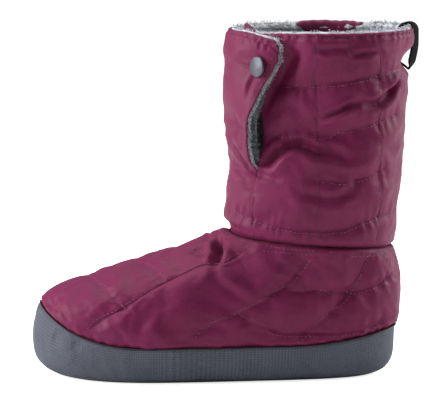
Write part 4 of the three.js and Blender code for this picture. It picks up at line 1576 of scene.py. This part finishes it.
def pileFringe():
    where = points(shaftFleece)
    out = points(shaftFleece, "normal")
    rimZ = bootie["collar"]
    cloths = [surfaceOf(shaftShell), surfaceOf(overRim)]
    high = np.where(where[:, 2] > rimZ - pile["band"])[0]
    level = mix(ventLevel(0.003), collarLevel, np.linspace(0, 1, 60))
    fromFlap = distanceTo(where, shaftPoint(np.ones(60), level, np.full(60, -0.002)))[0]
    inVent = np.where((fromFlap < pile["nearFlap"]) & (where[:, 2] < rimZ - pile["band"]))[0]
    groups = [(high, pile["rim"], pile["length"]), (inVent, pile["vent"], pile["ventLength"])]
    vertices = []
    faces = []
    for group, count, longest in groups:
        for i in random.choices(list(group), k=count):
            way = (Vector(out[i]) + anyWay(pile["lean"])).normalized()
            root = Vector(where[i]) + anyWay(0.0005)
            behindHem = cloths[1].find_nearest(root, pile["clearOfHem"])[0]
            fromMiddle = Vector((root.x - ankleX, root.y, 0)).normalized()
            facesOut = fromMiddle.dot(Vector(out[i])) > 0.3
            behindCloth = fromFlap[i] > pile["nearFlap"] and root.z < rimZ + 0.0006 and facesOut
            if behindHem or behindCloth:
                continue
            length = longest * random.uniform(0.5, 1.1)
            curl = anyWay(length * pile["curl"])
            reach = way * length + curl
            if any(layer.ray_cast(root, reach.normalized(), reach.length + 0.0004)[0] for layer in cloths):
                continue  # it would stand through the cloth
            addTuft(vertices, faces, root, way, length, pile["radius"] * random.uniform(0.7, 1.2), curl)
    finishPiece(meshPiece("pileFringe", vertices, faces), lining, [])


def flapEdging():
    v = np.array([random.random() for _ in range(pile["edge"])])
    level = mix(ventLevel(0.003), collarLevel, v)
    past = pile["edgeReach"] * np.array([random.random() for _ in range(pile["edge"])]) ** 1.3
    u = np.ones(len(v))
    moves = shaftMovesAt(u, level)
    edge = shaftPoint(u, level, -0.0012 - 0.3 * past, past) + moves
    before = shaftPoint(u - 0.01, level, np.full(len(v), -0.0012)) + moves
    vertices = []
    faces = []
    for root, inner in zip(edge, before):
        way = (Vector(root - inner).normalized() + anyWay(0.5)).normalized()
        start = Vector(root) + anyWay(0.0003) - way * 0.0004
        length = random.uniform(0.0007, 0.0014)
        addTuft(vertices, faces, start, way, length, pile["edgeRadius"], anyWay(0.0003))
    # the edging's paler colour is a painted highlight
    finishPiece(meshPiece("flapEdging", vertices, faces), highlitEdgeFleece, [])


random.seed(11)
pileFringe()
flapEdging()
print("pile made")

# Camera, light and floor

camera = {
    "azimuth": -3.0,
    "elevation": 8.0,
    "distance": 2.5,
    "target": (0, 0, 0.125),
    "pixelsPerMetre": 1301.0,  # at the target, in the picture 440 pixels wide
    "picture": (440, 413),
    "targetPixel": (214.69, 212.33),
}


def addCamera():
    wide, high = camera["picture"]
    data = bpy.data.cameras.new("camera")
    data.sensor_width = 36
    data.sensor_fit = "HORIZONTAL"
    data.lens = camera["distance"] * camera["pixelsPerMetre"] * data.sensor_width / wide
    data.shift_x = (wide / 2 - camera["targetPixel"][0]) / wide
    data.shift_y = (camera["targetPixel"][1] - high / 2) / wide
    obj = bpy.data.objects.new("camera", data)
    bpy.context.collection.objects.link(obj)
    a = math.radians(camera["azimuth"])
    e = math.radians(camera["elevation"])
    way = Vector((-math.sin(a) * math.cos(e), math.cos(a) * math.cos(e), -math.sin(e)))
    obj.location = Vector(camera["target"]) - way * camera["distance"]
    obj.rotation_euler = way.to_track_quat("-Z", "Y").to_euler()
    bpy.context.scene.camera = obj


def softLight(name, at, size, power):
    data = bpy.data.lights.new(name, "AREA")
    data.shape = "RECTANGLE"
    data.size, data.size_y = size
    data.energy = power
    obj = bpy.data.objects.new(name, data)
    bpy.context.collection.objects.link(obj)
    obj.location = at
    obj.rotation_euler = (Vector(studio["aim"]) - Vector(at)).to_track_quat("-Z", "Y").to_euler()


studio = {
    "fill": 0.24,  # what the white surroundings add, where the camera doesn't see them directly
    "lights": [
        ("leftSoftbox", (-1.8, -0.12, 0.85), (0.8, 1.3), 56),
        ("rightSoftbox", (1.65, 0.4, 0.8), (0.8, 1.2), 37),
        ("topSoftbox", (-0.1, 0.35, 1.9), (1.2, 0.9), 27),
    ],
    "aim": (0, 0, 0.12),
    "floorGlow": 0.75,  # keeps the floor near white, as in the photograph
}


def addStudio():
    deselect()
    bpy.ops.mesh.primitive_plane_add(size=12)
    floor = bpy.context.object
    floor.name = "studioFloor"
    material, tree, shader = nodeMaterial("paleFloor", {
        "Base Color": (0.9, 0.9, 0.9, 1), "Roughness": 0.8, "Specular IOR Level": 0.1,
        "Emission Color": (1, 1, 1, 1),
    })
    seen = tree.nodes.new("ShaderNodeLightPath")
    glow = addNode(tree, "ShaderNodeMath", operation="MULTIPLY", in_1=studio["floorGlow"])
    tree.links.new(seen.outputs["Is Camera Ray"], glow.inputs[0])
    tree.links.new(glow.outputs[0], shader.inputs["Emission Strength"])
    floor.data.materials.append(material)
    world = bpy.context.scene.world or bpy.data.worlds.new("studio")
    bpy.context.scene.world = world
    world.use_nodes = True
    tree = world.node_tree
    glow = tree.nodes["Background"]
    glow.inputs["Color"].default_value = (1, 1, 1, 1)
    seen = tree.nodes.new("ShaderNodeLightPath")
    strength = addNode(tree, "ShaderNodeMapRange")
    strength.inputs["To Min"].default_value = studio["fill"]
    strength.inputs["To Max"].default_value = 1.0
    tree.links.new(seen.outputs["Is Camera Ray"], strength.inputs["Value"])
    tree.links.new(strength.outputs["Result"], glow.inputs["Strength"])
    for name, at, size, power in studio["lights"]:
        softLight(name, at, size, power)
    bpy.context.scene.view_settings.view_transform = "Standard"
    bpy.context.scene.view_settings.look = "None"


addCamera()
addStudio()
print("studio ready")
